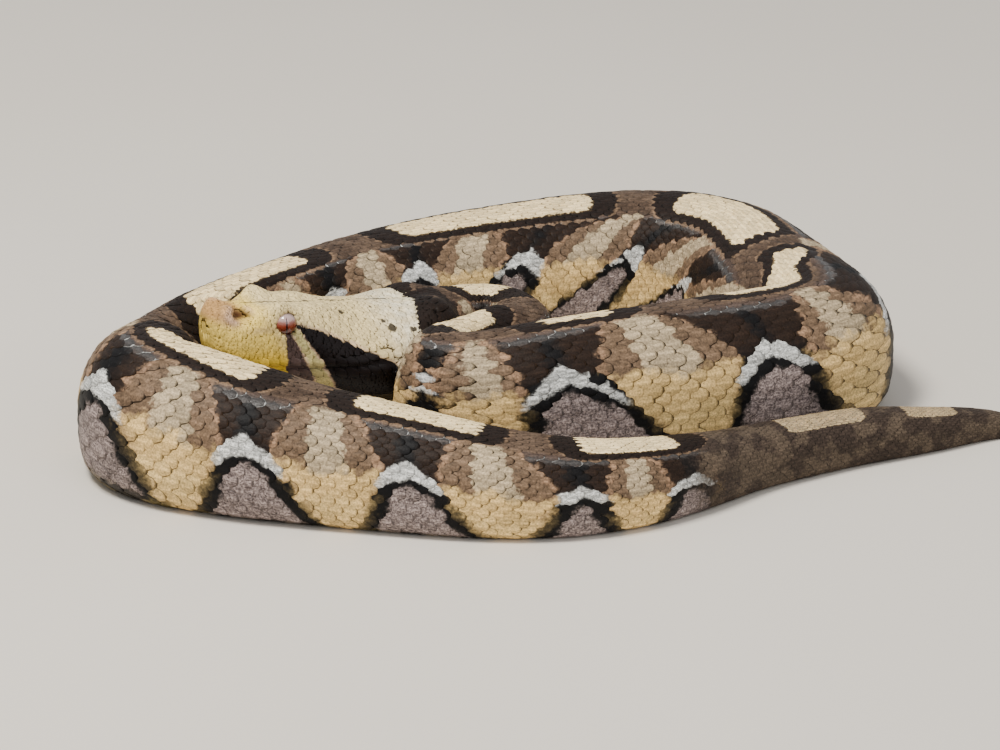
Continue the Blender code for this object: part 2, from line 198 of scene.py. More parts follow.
def centre_line():
    """Way, place, heading and bend along the centre line, every millimetre, to the snout."""
    body = natural_spline([point[:2] for point in ROUTE])
    forward = np.array([math.cos(HEADING), math.sin(HEADING)])
    ahead = body[-1] + np.outer(np.arange(1, HEAD_LENGTH + 6), forward)
    line = np.vstack([body, ahead])
    way = np.concatenate([[0], np.cumsum(np.linalg.norm(np.diff(line, axis=0), axis=1))])
    even = np.arange(0.0, way[-1])
    place = np.stack([np.interp(even, way, line[:, k]) for k in (0, 1)], axis=1)
    step = np.gradient(place, axis=0)
    heading = np.unwrap(np.arctan2(step[:, 1], step[:, 0]))
    window = np.hanning(2 * TURN_SOFTENING + 1)
    padded = np.pad(heading, TURN_SOFTENING, mode="edge")
    heading = np.convolve(padded, window / window.sum(), mode="valid")
    return even, place, heading, np.gradient(heading)


WAY, PLACE, TURN, BEND = centre_line()
STOPS = [float(WAY[np.hypot(*(PLACE - point[:2]).T).argmin()]) for point in ROUTE]
NAPE = STOPS[-1]
HEAD_FROM = NAPE - 30            # from here on the head's swellings act


def at(way, values):
    """What values along the centre line come to at a way."""
    return np.interp(way, WAY, values)


def place_at(way):
    """The centre line's place over the floor at a way."""
    return np.array([at(way, PLACE[:, 0]), at(way, PLACE[:, 1])])


def tip_rounding(x, reach, power):
    """1 behind the rounding of the snout, falling to 0 at its very tip."""
    t = np.clip((x - (HEAD_LENGTH - reach)) / reach, 0, 1)
    return (1 - t ** power) ** (1 / power)


def section_sizes(way):
    """Half-width, top, underside and the two shape powers at a way along the snake."""
    past_nape = way - NAPE
    table = np.array(HEAD, float)
    half, top, under, above, below = (eased(past_nape, table[:, 0], table[:, k])
                                      for k in range(1, 6))
    if past_nape < HEAD[0][0]:
        top = eased(way, STOPS, [point[2] for point in ROUTE])
        half = eased(way, STOPS, [point[3] for point in ROUTE])
        under, above, below = 0.0, BACK_POWER, BELLY_POWER
        blunt = math.sqrt(1 - (1 - min(way / TAIL_ROUNDING + 0.01, 1)) ** 2)
        top, half = top * blunt, half * blunt
    if past_nape > HEAD_LENGTH - SNOUT_CHIN[0]:
        half = half * tip_rounding(past_nape, *SNOUT_PLAN)
        top = SNOUT_LEVEL + (top - SNOUT_LEVEL) * tip_rounding(past_nape, *SNOUT_BROW)
        under = SNOUT_LEVEL + (under - SNOUT_LEVEL) * tip_rounding(past_nape, *SNOUT_CHIN)
    return float(half), float(top), float(under), float(above), float(below)


def outline(way, around):
    """Points of a section, aside and up, at fractions of its outline (0 is the back)."""
    half, top, under, above, below = section_sizes(way)
    waist = under + WIDEST_LEVEL * (top - under)
    t = np.linspace(0, math.pi, 181)
    power = np.where(t < math.pi / 2, above, below)
    aside = half * np.sin(t) ** (2 / power)
    rise = np.abs(np.cos(t)) ** (2 / power)
    sole = SOLE if under < 1 else 1.0
    up = np.where(t < math.pi / 2, waist + (top - waist) * rise,
                  waist - (waist - under) * sole * rise)
    up = np.maximum(up, under)
    along = np.concatenate([[0], np.cumsum(np.hypot(np.diff(aside), np.diff(up)))])
    along /= along[-1]
    side = np.abs(around)
    return np.sign(around) * np.interp(side, along, aside), np.interp(side, along, up)


def head_frame():
    """Nape, forward and left of the head, on the floor."""
    forward = np.array([math.cos(HEADING), math.sin(HEADING)])
    return place_at(NAPE), forward, np.array([-forward[1], forward[0]])


def to_head(points):
    """Points in the head's own frame: forward of the nape, to its left, and up."""
    origin, forward, left = head_frame()
    flat = points[:, :2] - origin
    return np.stack([flat @ forward, flat @ left, points[:, 2]], axis=1)


def from_head(points):
    origin, forward, left = head_frame()
    points = np.asarray(points, float)
    flat = origin + np.outer(points[:, 0], forward) + np.outer(points[:, 1], left)
    return np.column_stack([flat, points[:, 2]])


def swell(points):
    """The head's swellings and furrows, on points in the head's own frame."""
    moved = points.copy()
    for middle, reach, out in SWELLINGS:
        for side in ((1, -1) if middle[1] else (1,)):
            off = (points - np.array(middle) * (1, side, 1)) / reach
            push = out * np.exp(-(off ** 2).sum(axis=1))
            moved[:, 2] += SWELL_UP * push
            moved[:, 1] += SWELL_ASIDE * push * side * (middle[1] > 0)
    return moved


def plain_ring(way, around):
    """One section of the snake before the head's shapes or its weight act on it."""
    aside, up = outline(way, around)
    inner = np.maximum(INSIDE_BEND * aside * at(way, BEND), 0)
    aside = aside / (1 + inner ** 3) ** (1 / 3)
    heading = at(way, TURN)
    left = np.array([-math.sin(heading), math.cos(heading)])
    return np.column_stack([place_at(way) + np.outer(aside, left), up])


def core_of(way):
    """The middle of a section, level with its widest part."""
    _, top, under, _, _ = section_sizes(way)
    return np.array([*place_at(way), under + WIDEST_LEVEL * (top - under)])


def filled_by_head(points):
    """True for points in the head or closer to it than its clearance."""
    local = to_head(points)
    local = 2 * local - swell(local)
    stations = np.arange(PRESSES_FROM, HEAD_LENGTH)
    sizes = np.array([section_sizes(NAPE + x) for x in stations])
    half, top, under, above, below = (np.interp(local[:, 0], stations, sizes[:, k])
                                      for k in range(5))
    waist = under + WIDEST_LEVEL * (top - under)
    rise = local[:, 2] - waist
    reach = np.where(rise > 0, top - waist, waist - under) + HEAD_CLEARANCE
    power = np.where(rise > 0, above, below)
    within = ((np.abs(local[:, 1]) / (half + HEAD_CLEARANCE)) ** power
              + (np.abs(rise) / reach) ** power) < 1
    ahead = (local[:, 0] > stations[0]) & (local[:, 0] < HEAD_LENGTH + HEAD_CLEARANCE)
    return within & ahead


def hollow_table():
    """How much of each radius of the body is left where the head presses on it."""
    first, last = (STOPS[point] for point in YIELDS_BETWEEN)
    ways = np.arange(first, last + HOLLOW_STEP, HOLLOW_STEP)
    around = np.linspace(-1, 1, HOLLOW_COLUMNS)
    shares = np.linspace(0, 1, HOLLOW_SHARES)
    kept = np.ones((len(ways), len(around)))
    for i, way in enumerate(ways):
        core = core_of(way)
        radii = plain_ring(way, around) - core
        tried = core + shares[:, None, None] * radii[None]
        hit = filled_by_head(tried.reshape(-1, 3)).reshape(len(shares), len(around))
        kept[i] = np.where(hit.any(axis=0), shares[np.maximum(hit.argmax(axis=0) - 1, 0)], 1)
    reach = int(HOLLOW_ALONG / HOLLOW_STEP)
    window = np.outer(np.hanning(2 * reach + 3)[1:-1], np.hanning(2 * HOLLOW_ROUND + 3)[1:-1])
    window /= window.sum()
    offsets = [(i, j) for i in range(2 * reach + 1) for j in range(2 * HOLLOW_ROUND + 1)]
    for soften in (False, True):
        wide = np.pad(kept, ((reach, reach), (0, 0)), mode="edge")
        wide = np.hstack([wide[:, -1 - HOLLOW_ROUND:-1], wide, wide[:, 1:1 + HOLLOW_ROUND]])
        parts = [wide[i:i + kept.shape[0], j:j + kept.shape[1]] for i, j in offsets]
        if soften:
            kept = sum(window[i, j] * part for (i, j), part in zip(offsets, parts))
        else:
            kept = np.minimum.reduce(parts)
    return ways, around, kept


HOLLOW = hollow_table()


def ring(way, around):
    """One closed section of the snake, in millimetres, at fractions round its outline."""
    points = plain_ring(way, around)
    if way > HEAD_FROM:
        return from_head(swell(to_head(points)))
    ways, columns, kept = HOLLOW
    if not ways[0] < way < ways[-1]:
        return points
    i = min(int((way - ways[0]) / HOLLOW_STEP), len(ways) - 2)
    t = (way - ways[i]) / HOLLOW_STEP
    share = np.interp(around, columns, kept[i] * (1 - t) + kept[i + 1] * t)
    core = core_of(way)
    return core + share[:, None] * (points - core)


# ---- the skin as a fine net -----------------------------------------------------------

COAT = 1.0                       # depth of the scales over the skin, on the thick body
COLUMNS = 128                    # knots of the net round the body
FULL_GIRTH = 105.0               # half of the girth where the body is thickest
HEAD_COAT = 0.35                 # depth of the small scales of the head
SNOUT_NET = 24.0                 # how much of the snout has the closest rings
THIN = 0.7                       # power by which scales get lower where the body is thin
COAT_EASES = 60                  # the coat thins towards the head's over this way
FOLDS_FROM = 20                  # how far behind the nape the head's folds may start
SKIN_OVER_FLOOR = 0.25
NOSTRIL = (90.6, 12.2, 61.4)     # forward, aside, up, as the eyes' place


def net_ways():
    """Ways of the net's rings: close on the head and closest at both ends."""
    tail = TAIL_ROUNDING * (1 - np.cos(np.linspace(0.0, math.pi / 2, 9)))
    body = np.arange(TAIL_ROUNDING + 1, HEAD_FROM, 2.4)
    snout_from = NAPE + HEAD_LENGTH - SNOUT_NET
    head = np.arange(HEAD_FROM, snout_from, 1.0)
    snout = snout_from + (SNOUT_NET - 0.1) * np.sin(np.linspace(0, math.pi / 2, 42))
    return np.concatenate([tail, body, head, snout])


def mirrored_distance(local, place, reach):
    """Distance from a place on either side of the head, in units of its reach."""
    off = (local * (1, 0, 1) + np.abs(local) * (0, 1, 0) - place) / reach
    return np.sqrt((off ** 2).sum(axis=-1))


def bump(distance):
    """1 at a distance of 0, and a soft fall on either side."""
    return np.exp(-distance ** 2)


def mouth_height(forward):
    """Height of the mouth's line at a distance forward of the nape."""
    return np.interp(forward, *zip(*MOUTH))


def nostril_shapes(local):
    """The nostril's pit, and the curled fold that stands over its front and top."""
    forward, aside, up = NOSTRIL
    x = (local[..., 0] - forward - 1.0) / 6.2
    z = (local[..., 2] - up - 0.4) / 3.9
    near = bump((np.abs(local[..., 1]) - aside) / 8) * (np.abs(local[..., 1]) > 4)
    ring_share = bump((np.hypot(x, z) - 1) / 0.24)
    upper = np.clip(0.9 + z + 0.5 * x, 0, 1)
    pit = bump(np.hypot((local[..., 0] - forward) / 4.8, (local[..., 2] - up) / 2.8) ** 1.5)
    return pit * near, ring_share * upper * near


def head_relief(local):
    """How far the skin stands out where the head has folds, pits, rims and the mouth."""
    eye = mirrored_distance(local, EYE_PLACE, 1.0)
    past_eye = eye - EYE_RADIUS
    rim = 0.5 * bump((past_eye - 1.6) / 1.6) - 0.6 * bump((past_eye + 0.6) / 1.4)
    pit, fold = nostril_shapes(local)
    canthus = 0.5 * bump(mirrored_distance(local, (82.0, 13.5, 60.0), (7.0, 3.0, 2.6)))
    gape = local[..., 2] - mouth_height(local[..., 0])
    within = (local[..., 0] > 20) & (np.abs(local[..., 1]) > 3)
    mouth = np.where(within, -0.9 * bump(gape / 0.7) + 0.4 * bump((gape - 2.2) / 1.6), 0)
    chin = 0.35 * np.where(local[..., 2] > 26, 0, bump(local[..., 1] / 5.0))
    return rim - 3.4 * pit + 1.4 * fold + canthus + mouth + chin


def net_normals(points):
    """Outward directions at the knots of a net of points."""
    along = np.gradient(points, axis=0)
    wrapped = np.concatenate([points[:, -2:-1], points, points[:, 1:2]], axis=1)
    across = wrapped[:, 2:] - wrapped[:, :-2]
    normals = np.cross(along, across)
    normals /= np.maximum(np.linalg.norm(normals, axis=2), 1e-9)[..., None]
    return normals


def depth_under_scales(way):
    """How far the skin lies inside the solids."""
    share = np.clip((way - NAPE + COAT_EASES) / COAT_EASES, 0, 1)
    thick = COAT * (at(way, GIRTH) / FULL_GIRTH) ** THIN
    return thick * (1 - share) + HEAD_COAT * share


def make_net():
    """Ways and knots of a net over the solids, and half of the girth by way."""
    ways = net_ways()
    around = np.linspace(-1, 1, COLUMNS + 1)
    solid = np.array([ring(way, around) for way in ways])
    steps = np.linalg.norm(np.diff(solid, axis=1), axis=2).sum(axis=1) / 2
    return ways, solid, np.interp(WAY, ways, steps)


NET_WAYS, SOLID_NET, GIRTH = make_net()


def skin_net():
    """The skin: the solids' surface, with the head's folds, sunk by the scales' depth."""
    normals = net_normals(SOLID_NET)
    local = to_head(SOLID_NET.reshape(-1, 3)).reshape(SOLID_NET.shape)
    on_head = (NET_WAYS > NAPE - FOLDS_FROM)[:, None]
    out = np.where(on_head, head_relief(local), 0)
    out -= np.array([depth_under_scales(way) for way in NET_WAYS])[:, None]
    points = SOLID_NET + out[..., None] * normals
    points[..., 2] = np.maximum(points[..., 2], SKIN_OVER_FLOOR)
    return points, net_normals(points)


SKIN, SKIN_OUT = skin_net()


def look_up(table, way, around):
    """A table's values at any ways and arounds, by straight lines between its knots."""
    way = np.clip(way, NET_WAYS[0], NET_WAYS[-1])
    i = np.clip(np.searchsorted(NET_WAYS, way) - 1, 0, len(NET_WAYS) - 2)
    s = ((way - NET_WAYS[i]) / (NET_WAYS[i + 1] - NET_WAYS[i]))[..., None]
    column = (around + 1) / 2 * COLUMNS % COLUMNS
    j = np.floor(column).astype(int)
    t = (column - j)[..., None]
    return ((table[i, j] * (1 - t) + table[i, j + 1] * t) * (1 - s)
            + (table[i + 1, j] * (1 - t) + table[i + 1, j + 1] * t) * s)


# ---- colours --------------------------------------------------------------------------

def paint_colour(red, green, blue):
    """Linear light from everyday 0 to 255 colour numbers."""
    share = np.array([red, green, blue]) / 255
    return np.where(share <= 0.04045, share / 12.92, ((share + 0.055) / 1.055) ** 2.4)


CROWN = paint_colour(232, 208, 151)
NAPE_CREAM = paint_colour(238, 226, 196)
FACE_YELLOW = paint_colour(244, 210, 106)
LIP_YELLOW = paint_colour(232, 192, 58)
NOSE_ORANGE = paint_colour(188, 144, 88)
NOSE_PINK = paint_colour(214, 176, 142)
NOSTRIL_SHADE = paint_colour(80, 46, 28)
LORE_GREY = paint_colour(160, 138, 110)


def blend(colour, other, share):
    """Colours moved towards another one by a share at each point."""
    return colour + (other - colour) * share[..., None]


def nearest_of(*distances):
    """The inside of all the given shapes at once, as one distance, positive inside."""
    return np.minimum.reduce(np.broadcast_arrays(*distances))


def edge(distance, soft=0.7):
    """1 well inside a shape, where the distance is negative, and 0 well outside it."""
    t = np.clip(0.5 - distance / (2 * soft), 0, 1)
    return t * t * (3 - 2 * t)


def wobble(x, y, size, seed):
    """A smooth wavy value from about -1 to 1 that changes over the given size."""
    total = np.zeros(np.broadcast(x, y).shape)
    turns = np.random.default_rng(seed)
    for _ in range(5):
        angle, phase = turns.uniform(0, 2 * math.pi, 2)
        rate = 2 * math.pi / size * turns.uniform(0.6, 1.6)
        total += np.sin(rate * (x * math.cos(angle) + y * math.sin(angle)) + phase)
    return total / 2.6


# ---- markings of the body -------------------------------------------------------------

# How far the middle of the markings lies to the left of the top of the back, at full girth,
# because the resting body rolls a little: way, shift.
ROLL = [(0, 0), (240, 1), (309, -5), (385, -4), (450, -13), (500, -2), (560, 6), (640, 3),
        (716, -1.5), (850, -4.5), (900, -9), (945, -19), (1010, -12), (1090, -12.5),
        (1160, -9), (1215, -5), (1290, 0), (1340, 0)]

# Pale bars down the back: ways of both ends, and half of the width.
BARS = [(36, 62, 20), (85, 128, 20), (192, 238, 14), (281, 338, 12.5), (384, 458, 12.5),
        (524, 604, 10), (665, 770, 10.5), (817, 894, 12.5), (922, 1020, 8),
        (1080, 1114, 12.5), (1178, 1219, 13), (1279, 1303, 12)]

# Diamonds on each flank: way of the middle, half of the length, and how far their lower
# point leans back.
LEFT_DIAMONDS = [(170, 12, 0), (218, 14, 0), (272, 23, 6), (342, 24, 8), (410, 22, 3),
                 (470, 22, 0), (544, 24, 0), (618, 26, 0), (694, 26, 0), (770, 26, 0),
                 (844, 24, 0), (912, 20, 0), (982, 17, 6), (1064, 33, 16), (1143, 12, 6),
                 (1172, 13, 0), (1222, 16, 0), (1270, 15, 0), (1314, 13, 0)]
RIGHT_DIAMONDS = [(170, 12, 0), (218, 14, 0), (272, 23, 0), (342, 24, 0), (410, 22, 0),
                  (470, 22, 0), (528, 20, 0), (578, 18, 0), (628, 20, 10), (690, 24, 25),
                  (762, 25, 50), (832, 28, 65), (890, 18, 60), (942, 14, 10), (1000, 20, 0),
                  (1064, 28, 0), (1130, 20, 0), (1178, 14, 0), (1222, 16, 0), (1270, 15, 0),
                  (1314, 13, 0)]

# Where the right flank's markings sit closer to the back: way, shift at full girth.
RIGHT_RAISED = [(560, 0), (620, 11), (750, 10), (810, 5), (860, 0), (1340, 0)]

# How much of their breadth the diamonds have at their tops: way, share.
SHOULDER = [(0, 0.5), (480, 0.5), (600, 0.16), (900, 0.16), (1060, 0.34), (1340, 0.34)]

# How late the diamonds narrow to their feet: way, power.
FOOT_CURVE = [(0, 1.15), (580, 1.15), (640, 0.75), (860, 0.75), (920, 1.15), (1340, 1.15)]

# How far the bars of the back lean to the left where the body turns tightly: way, shift.
BAR_SLANT = [(0, 0), (905, 0), (926, 11), (952, 0), (1340, 0)]

DIAMOND_TOP = 17.0               # heights of the flank's markings, round from the back
DIAMOND_WIDEST = 43.0
DIAMOND_FOOT = 86.0
LENS_DEPTH = 8.5
CAP_TOP = 38.0
CAP_DEPTH = 8.0
PLUM_MARGIN = 9.0
BAR_CORNER = 5.0
BELT = 6.0
CHAIN_END = 1345                 # way at which the last belt ends
LEAN_HEIGHT = 40                 # the leans are given over this much of the flank's height
NOWHERE = -1e3                   # distance into a marking that is far away


def table_curve(x, table):
    """A smooth curve through a table of two columns."""
    rows = np.array(table, float)
    return eased(x, rows[:, 0], rows[:, 1])


def rolled(way, around):
    """Distance round from the middle of the markings, at full girth, left positive."""
    return FULL_GIRTH * around - table_curve(way, ROLL) * (1 - around ** 2)


def unrolled(way, round_distance):
    """The around of a place at a distance from the middle of the markings."""
    around = round_distance / FULL_GIRTH
    for _ in range(4):
        around = (round_distance + table_curve(way, ROLL) * (1 - around ** 2)) / FULL_GIRTH
    return around


def diamond_distances(way, height, diamonds):
    """Distance into the nearest diamond, and distance into the grey stripe on its middle."""
    spread = np.clip((height - DIAMOND_TOP) / (DIAMOND_WIDEST - DIAMOND_TOP), 0, 1)
    narrowing = np.clip((height - DIAMOND_WIDEST) / (DIAMOND_FOOT - DIAMOND_WIDEST), 0, 1)
    shoulder = table_curve(way, SHOULDER)
    fan = shoulder + (1 - shoulder) * spread ** 0.72
    vase = 1 - 0.94 * narrowing ** table_curve(way, FOOT_CURVE)
    share = np.where(height < DIAMOND_WIDEST, fan, vase)
    inside = stripe = np.full(way.shape, NOWHERE)
    for centre, reach, lean in diamonds:
        off = np.abs(way - centre + lean * (height - DIAMOND_WIDEST) / LEAN_HEIGHT)
        depth = reach * share - off
        nearer = depth > inside
        inside = np.where(nearer, depth, inside)
        stripe = np.where(nearer, reach * (0.26 + 0.12 * spread) - off, stripe)
    return inside, stripe


def gap_distances(way, height, diamonds, inside):
    """Distances into what lies between diamonds: lens, white cap, plum patch, dark middle."""
    lens = cap = plum = dusk = np.full(way.shape, NOWHERE)
    for before, after in zip(diamonds, diamonds[1:]):
        lean = (before[2] + after[2]) / 2
        middle = (before[0] + before[1] + after[0] - after[1]) / 2
        x = np.abs(way - middle + lean * (height - DIAMOND_WIDEST) / LEAN_HEIGHT)
        room = (after[0] - before[0]) / 2
        bow = np.sqrt(np.clip(1 - (x / (0.9 * room)) ** 2, 0, 1))
        foot = DIAMOND_TOP - 1 + LENS_DEPTH * bow
        lens = np.maximum(lens, nearest_of(foot - height, 0.86 * room - x))
        top = CAP_TOP + 0.72 * x
        bottom = CAP_TOP + CAP_DEPTH + 0.50 * x
        arms = np.clip(0.66 * room, 6, 26)
        cap = np.maximum(cap, nearest_of(height - top, bottom - height, arms - x))
        plum = np.maximum(plum, nearest_of(height - bottom - 4.5, 1.1 * room - x))
        dusk = np.maximum(dusk, 4 - x)
    return lens, cap, nearest_of(plum, -PLUM_MARGIN - inside), dusk


def flank_distances(way, height, diamonds):
    """Distances into all the markings of one flank."""
    inside, stripe = diamond_distances(way, height, diamonds)
    return inside, stripe, *gap_distances(way, height, diamonds, inside)


def back_distances(way, across):
    """Distances into the pale bars of the back and the dark belts round them."""
    height = np.abs(across - table_curve(way, BAR_SLANT))
    bar = belt = np.full(way.shape, NOWHERE)
    ends = [0] + [end for _, end, _ in BARS]
    starts = [start for start, _, _ in BARS[1:]] + [CHAIN_END]
    for (start, end, half), gap_before, gap_after in zip(BARS, ends, starts):
        length = (end - start) / 2
        x = np.abs(way - (start + end) / 2)
        round_x = np.maximum(x - length + BAR_CORNER, 0)
        round_y = np.maximum(height - half + BAR_CORNER, 0)
        outside = np.hypot(round_x, round_y) - BAR_CORNER
        beside = np.maximum(x - length, height - half)
        cornered = (round_x > 0) & (round_y > 0)
        bar = np.maximum(bar, -np.where(cornered, outside, beside))
        room = np.where(way > (start + end) / 2, gap_after - end, start - gap_before)
        ahead = np.clip(0.30 * room, 5, 17)
        belt_half = half + BELT
        arch = np.clip(1 - (height / belt_half) ** 2, 0, 1) ** 0.4
        belt = np.maximum(belt, nearest_of(length + ahead * arch - x, belt_half - height))
    return bar, belt


def body_markings(way, around):
    """Distances into every marking of the body, in millimetres at full girth."""
    across = rolled(way, around)
    warp = 1.1 * wobble(way, across, 8, 1)
    height = np.abs(across)
    raised = height + table_curve(way, RIGHT_RAISED) * np.clip((height - 13) / 8, 0, 1)
    left = flank_distances(way + warp, height + 0.6 * warp, LEFT_DIAMONDS)
    right = flank_distances(way + warp, raised + 0.6 * warp, RIGHT_DIAMONDS)
    inside, stripe, lens, cap, plum, dusk = (np.where(across > 0, a, b)
                                             for a, b in zip(left, right))
    level = np.where(across > 0, height, raised)
    bar, belt = back_distances(way, across)
    return {"diamond": np.stack([inside, stripe, level], axis=-1),
            "between": np.stack([lens, cap, plum], axis=-1),
            "back": np.stack([bar, belt, dusk], axis=-1)}


# ---- markings of the head -------------------------------------------------------------

HEAD_PAINT_FROM = 45             # how far behind the nape the head's markings may start


def side_of_line(x, y, start, end):
    """Signed distance from the line through two points, positive on its left."""
    run = np.array(end, float) - start
    length = np.hypot(*run)
    return (run[0] * (y - start[1]) - run[1] * (x - start[0])) / length


def wedge(x, y, corners):
    """Distance into a shape with three or more corners, given counter-clockwise."""
    return nearest_of(*(side_of_line(x, y, start, end)
                        for start, end in zip(corners, corners[1:] + corners[:1])))


def head_colours(local):
    """The soft colours of the head at points in its own frame."""
    x, aside, up = local[..., 0], np.abs(local[..., 1]), local[..., 2]
    colour = blend(np.zeros(x.shape + (3,)) + CROWN, NAPE_CREAM, edge(x - 22, 12))
    colour = blend(colour, CROWN * 0.84, edge(wobble(x, local[..., 1], 9, 21), 0.7) * 0.5)
    level = up - mouth_height(x)
    face = edge(80 - x - 0.55 * np.clip(58 - up, 0, 30), 6)
    colour = blend(colour, FACE_YELLOW, face)
    colour = blend(colour, LIP_YELLOW, face * edge(level - 7, 5))
    colour = blend(colour, NOSE_ORANGE, edge(90 - x, 4) * edge(59 - up, 3))
    pit, fold = nostril_shapes(local)
    flap = bump(mirrored_distance(local, np.array(NOSTRIL) + (6, 0, -1.5), (4, 6, 3)))
    colour = blend(colour, NOSE_PINK, np.clip(1.2 * fold + 0.8 * flap, 0, 1))
    lore = bump(mirrored_distance(local, (82.5, 15.0, 54.5), (8, 6, 1.8)))
    colour = blend(colour, LORE_GREY, 0.7 * lore)
    # painted shade: the nostril's pit darkens to a deep brown
    return blend(colour, NOSTRIL_SHADE, np.clip(1.7 * pit - 0.3, 0, 1))


def head_markings(local):
    """Distances into the cheek's dark wedges, the stripe between them and other spots."""
    x, aside, up = local[..., 0], np.abs(local[..., 1]), local[..., 2]
    on_side = aside - 12
    # The cheek's wedge is the real dark marking from the eye back to the jaw; its near-black
    # tone and its reach down over the lower jaw are painted shade under the head.
    cheek = nearest_of(wedge(x, up, [(68.5, 55.5), (58, 52), (46, 45.6), (26, 34.8), (6, 24),
                                     (6, 2), (38, 2)]), on_side)
    before = nearest_of(wedge(x, up, [(73.2, 54), (71.2, 54), (60.2, 30), (47.4, 2),
                                      (72.2, 2)]), on_side)
    stripe = nearest_of(wedge(x, up, [(71.0, 54.5), (68.2, 55.5), (52.7, 28), (38, 2),
                                      (47.4, 2), (60.2, 30)]), on_side)
    middle = np.abs(local[..., 1] + 0.6 * wobble(x, 0 * x, 12, 22))
    line = nearest_of(0.55 - middle, 86 - x, x + 4, up - 45)
    for forward, out, size in [(41.2, 12.8, 1.5), (20.2, 23.5, 1.5), (22.5, 19.0, 1.2),
                               (24.0, 8.7, 1.0), (19.0, 24.5, 1.0), (11.0, 27.0, 1.4)]:
        spot = size - np.hypot(x - forward, aside - out)
        line = np.maximum(line, nearest_of(spot, up - 44))
    head_edge = -1.5 + 0.36 * aside
    tan = wedge(x, aside, [(-9.0, 15.0), (-16.0, 9.0), (-5.0, 4.0)])
    collar = nearest_of(head_edge + 1 - x, x + 22 - 0.3 * aside, -tan)
    return {"face": np.stack([cheek, before, stripe], axis=-1),
            "nape": np.stack([x - head_edge, collar, line], axis=-1)}


def markings(way, around, points):
    """All the distances into markings, and the head's soft colours, at places on the snake."""
    made = body_markings(way, around)
    made["soft"] = np.zeros(way.shape + (3,))
    made["face"], made["nape"] = np.full((2, *way.shape, 3), NOWHERE)
    near = way > NAPE - HEAD_PAINT_FROM
    if near.any():
        local = to_head(points[near].reshape(-1, 3)).reshape(points[near].shape)
        made["soft"][near] = head_colours(local)
        for name, values in head_markings(local).items():
            made[name][near] = values
    return made


# ---- finishes -------------------------------------------------------------------------

CREAM = paint_colour(250, 226, 175)
TAN = paint_colour(206, 173, 114)
STRAW = paint_colour(216, 187, 127)
LINE_TAN = paint_colour(118, 95, 74)
RIM_TAN = paint_colour(112, 84, 60)
PINK_EDGE = paint_colour(160, 126, 98)
PINK_BROWN = paint_colour(124, 101, 80)
WING_BROWN = paint_colour(98, 79, 61)
STRIPE_GREY = paint_colour(166, 148, 119)
WAIST = paint_colour(90, 73, 59)
WAIST_DARK = paint_colour(62, 48, 38)
LENS_BROWN = paint_colour(78, 64, 56)
LENS_GREY = paint_colour(62, 62, 62)
DARK_BROWN = paint_colour(36, 25, 18)
BELT_BROWN = paint_colour(30, 21, 16)
BLACK = paint_colour(12, 11, 12)
SNOW = paint_colour(222, 222, 218)
SNOW_GREY = paint_colour(160, 160, 156)
PLUM = paint_colour(94, 82, 81)
PLUM_PALE = paint_colour(168, 152, 146)
OLIVE = paint_colour(126, 112, 68)
BELLY = paint_colour(196, 180, 130)
RUST = paint_colour(140, 100, 72)
TAIL_BROWN = paint_colour(56, 46, 39)
TAIL_PATCH = paint_colour(92, 79, 65)
TAIL_GREY = paint_colour(142, 128, 106)
CHEEK_DARK_AND_SHADE = paint_colour(20, 14, 14)
CHEEK_PURPLE = paint_colour(84, 68, 64)
CHEEK_PALE = paint_colour(196, 182, 124)
CHEEK_EDGE = paint_colour(206, 176, 144)
RIM_LIFT_AND_GLINT = 2.2                   # lifts the pale rims of white and plum scales over their shade, and brightens the painted glints on the lens
TAIL_PLAIN = 188.0               # behind this way the flanks carry no diamonds
KEEL_SIDE = 0.16                 # half of the painted highlight along a keel, in shares of the scale
PORE_DEPTH = 0.0003              # in metres
WET_ROUGHNESS = 0.28


class Nodes:
    """The node tree of a new material, with short ways to add to it."""

    def __init__(self, name):
        self.material = bpy.data.materials.new(name)
        self.material.use_nodes = True
        self.tree = self.material.node_tree
        self.shader = self.tree.nodes["Principled BSDF"].inputs

    def feed(self, socket, value):
        """Links a socket, or sets a plain number, vector or colour."""
        if isinstance(value, bpy.types.NodeSocket):
            self.tree.links.new(value, socket)
        elif np.ndim(value):
            socket.default_value = (*value, 1)[:len(socket.default_value)]
        else:
            socket.default_value = value

    def add(self, kind, inputs=(), **settings):
        """Adds a node and gives back its outputs."""
        made = self.tree.nodes.new("ShaderNode" + kind)
        for name, value in settings.items():
            setattr(made, name, value)
        for key, value in dict(inputs).items():
            self.feed(made.inputs[key], value)
        return made.outputs

    def math(self, operation, *values):
        return self.add("Math", enumerate(values), operation=operation)[0]

    def mix(self, share, below, above, blend_type="MIX"):
        return self.add("Mix", {0: share, 6: below, 7: above}, data_type="RGBA",
                        blend_type=blend_type)[2]

    def rescaled(self, value, low, high, new_low=0.0, new_high=1.0, curve="LINEAR"):
        """A value moved from one range to another, and held inside it."""
        return self.add("MapRange", {"Value": value, "From Min": low, "From Max": high,
                                     "To Min": new_low, "To Max": new_high},
                        interpolation_type=curve)["Result"]

    def noise(self, place, scale, detail):
        return self.add("TexNoise", {"Vector": place, "Scale": scale, "Detail": detail})["Fac"]

    def ramp(self, value, stops):
        """A run of colours along a value, from its places between 0 and 1."""
        colours = self.add("ValToRGB", {"Fac": value})["Color"]
        run = colours.node.color_ramp.elements
        for position, colour in stops:
            ends = {0: 0, 1: len(run) - 1}
            stop = run[ends[position]] if position in ends else run.new(position)
            stop.color = (*paint_colour(*colour), 1)
        return colours

    def read(self, name):
        """The three numbers of one of the mesh's attributes."""
        stored = self.add("Attribute", attribute_name=name)["Vector"]
        return self.add("SeparateXYZ", {"Vector": stored})


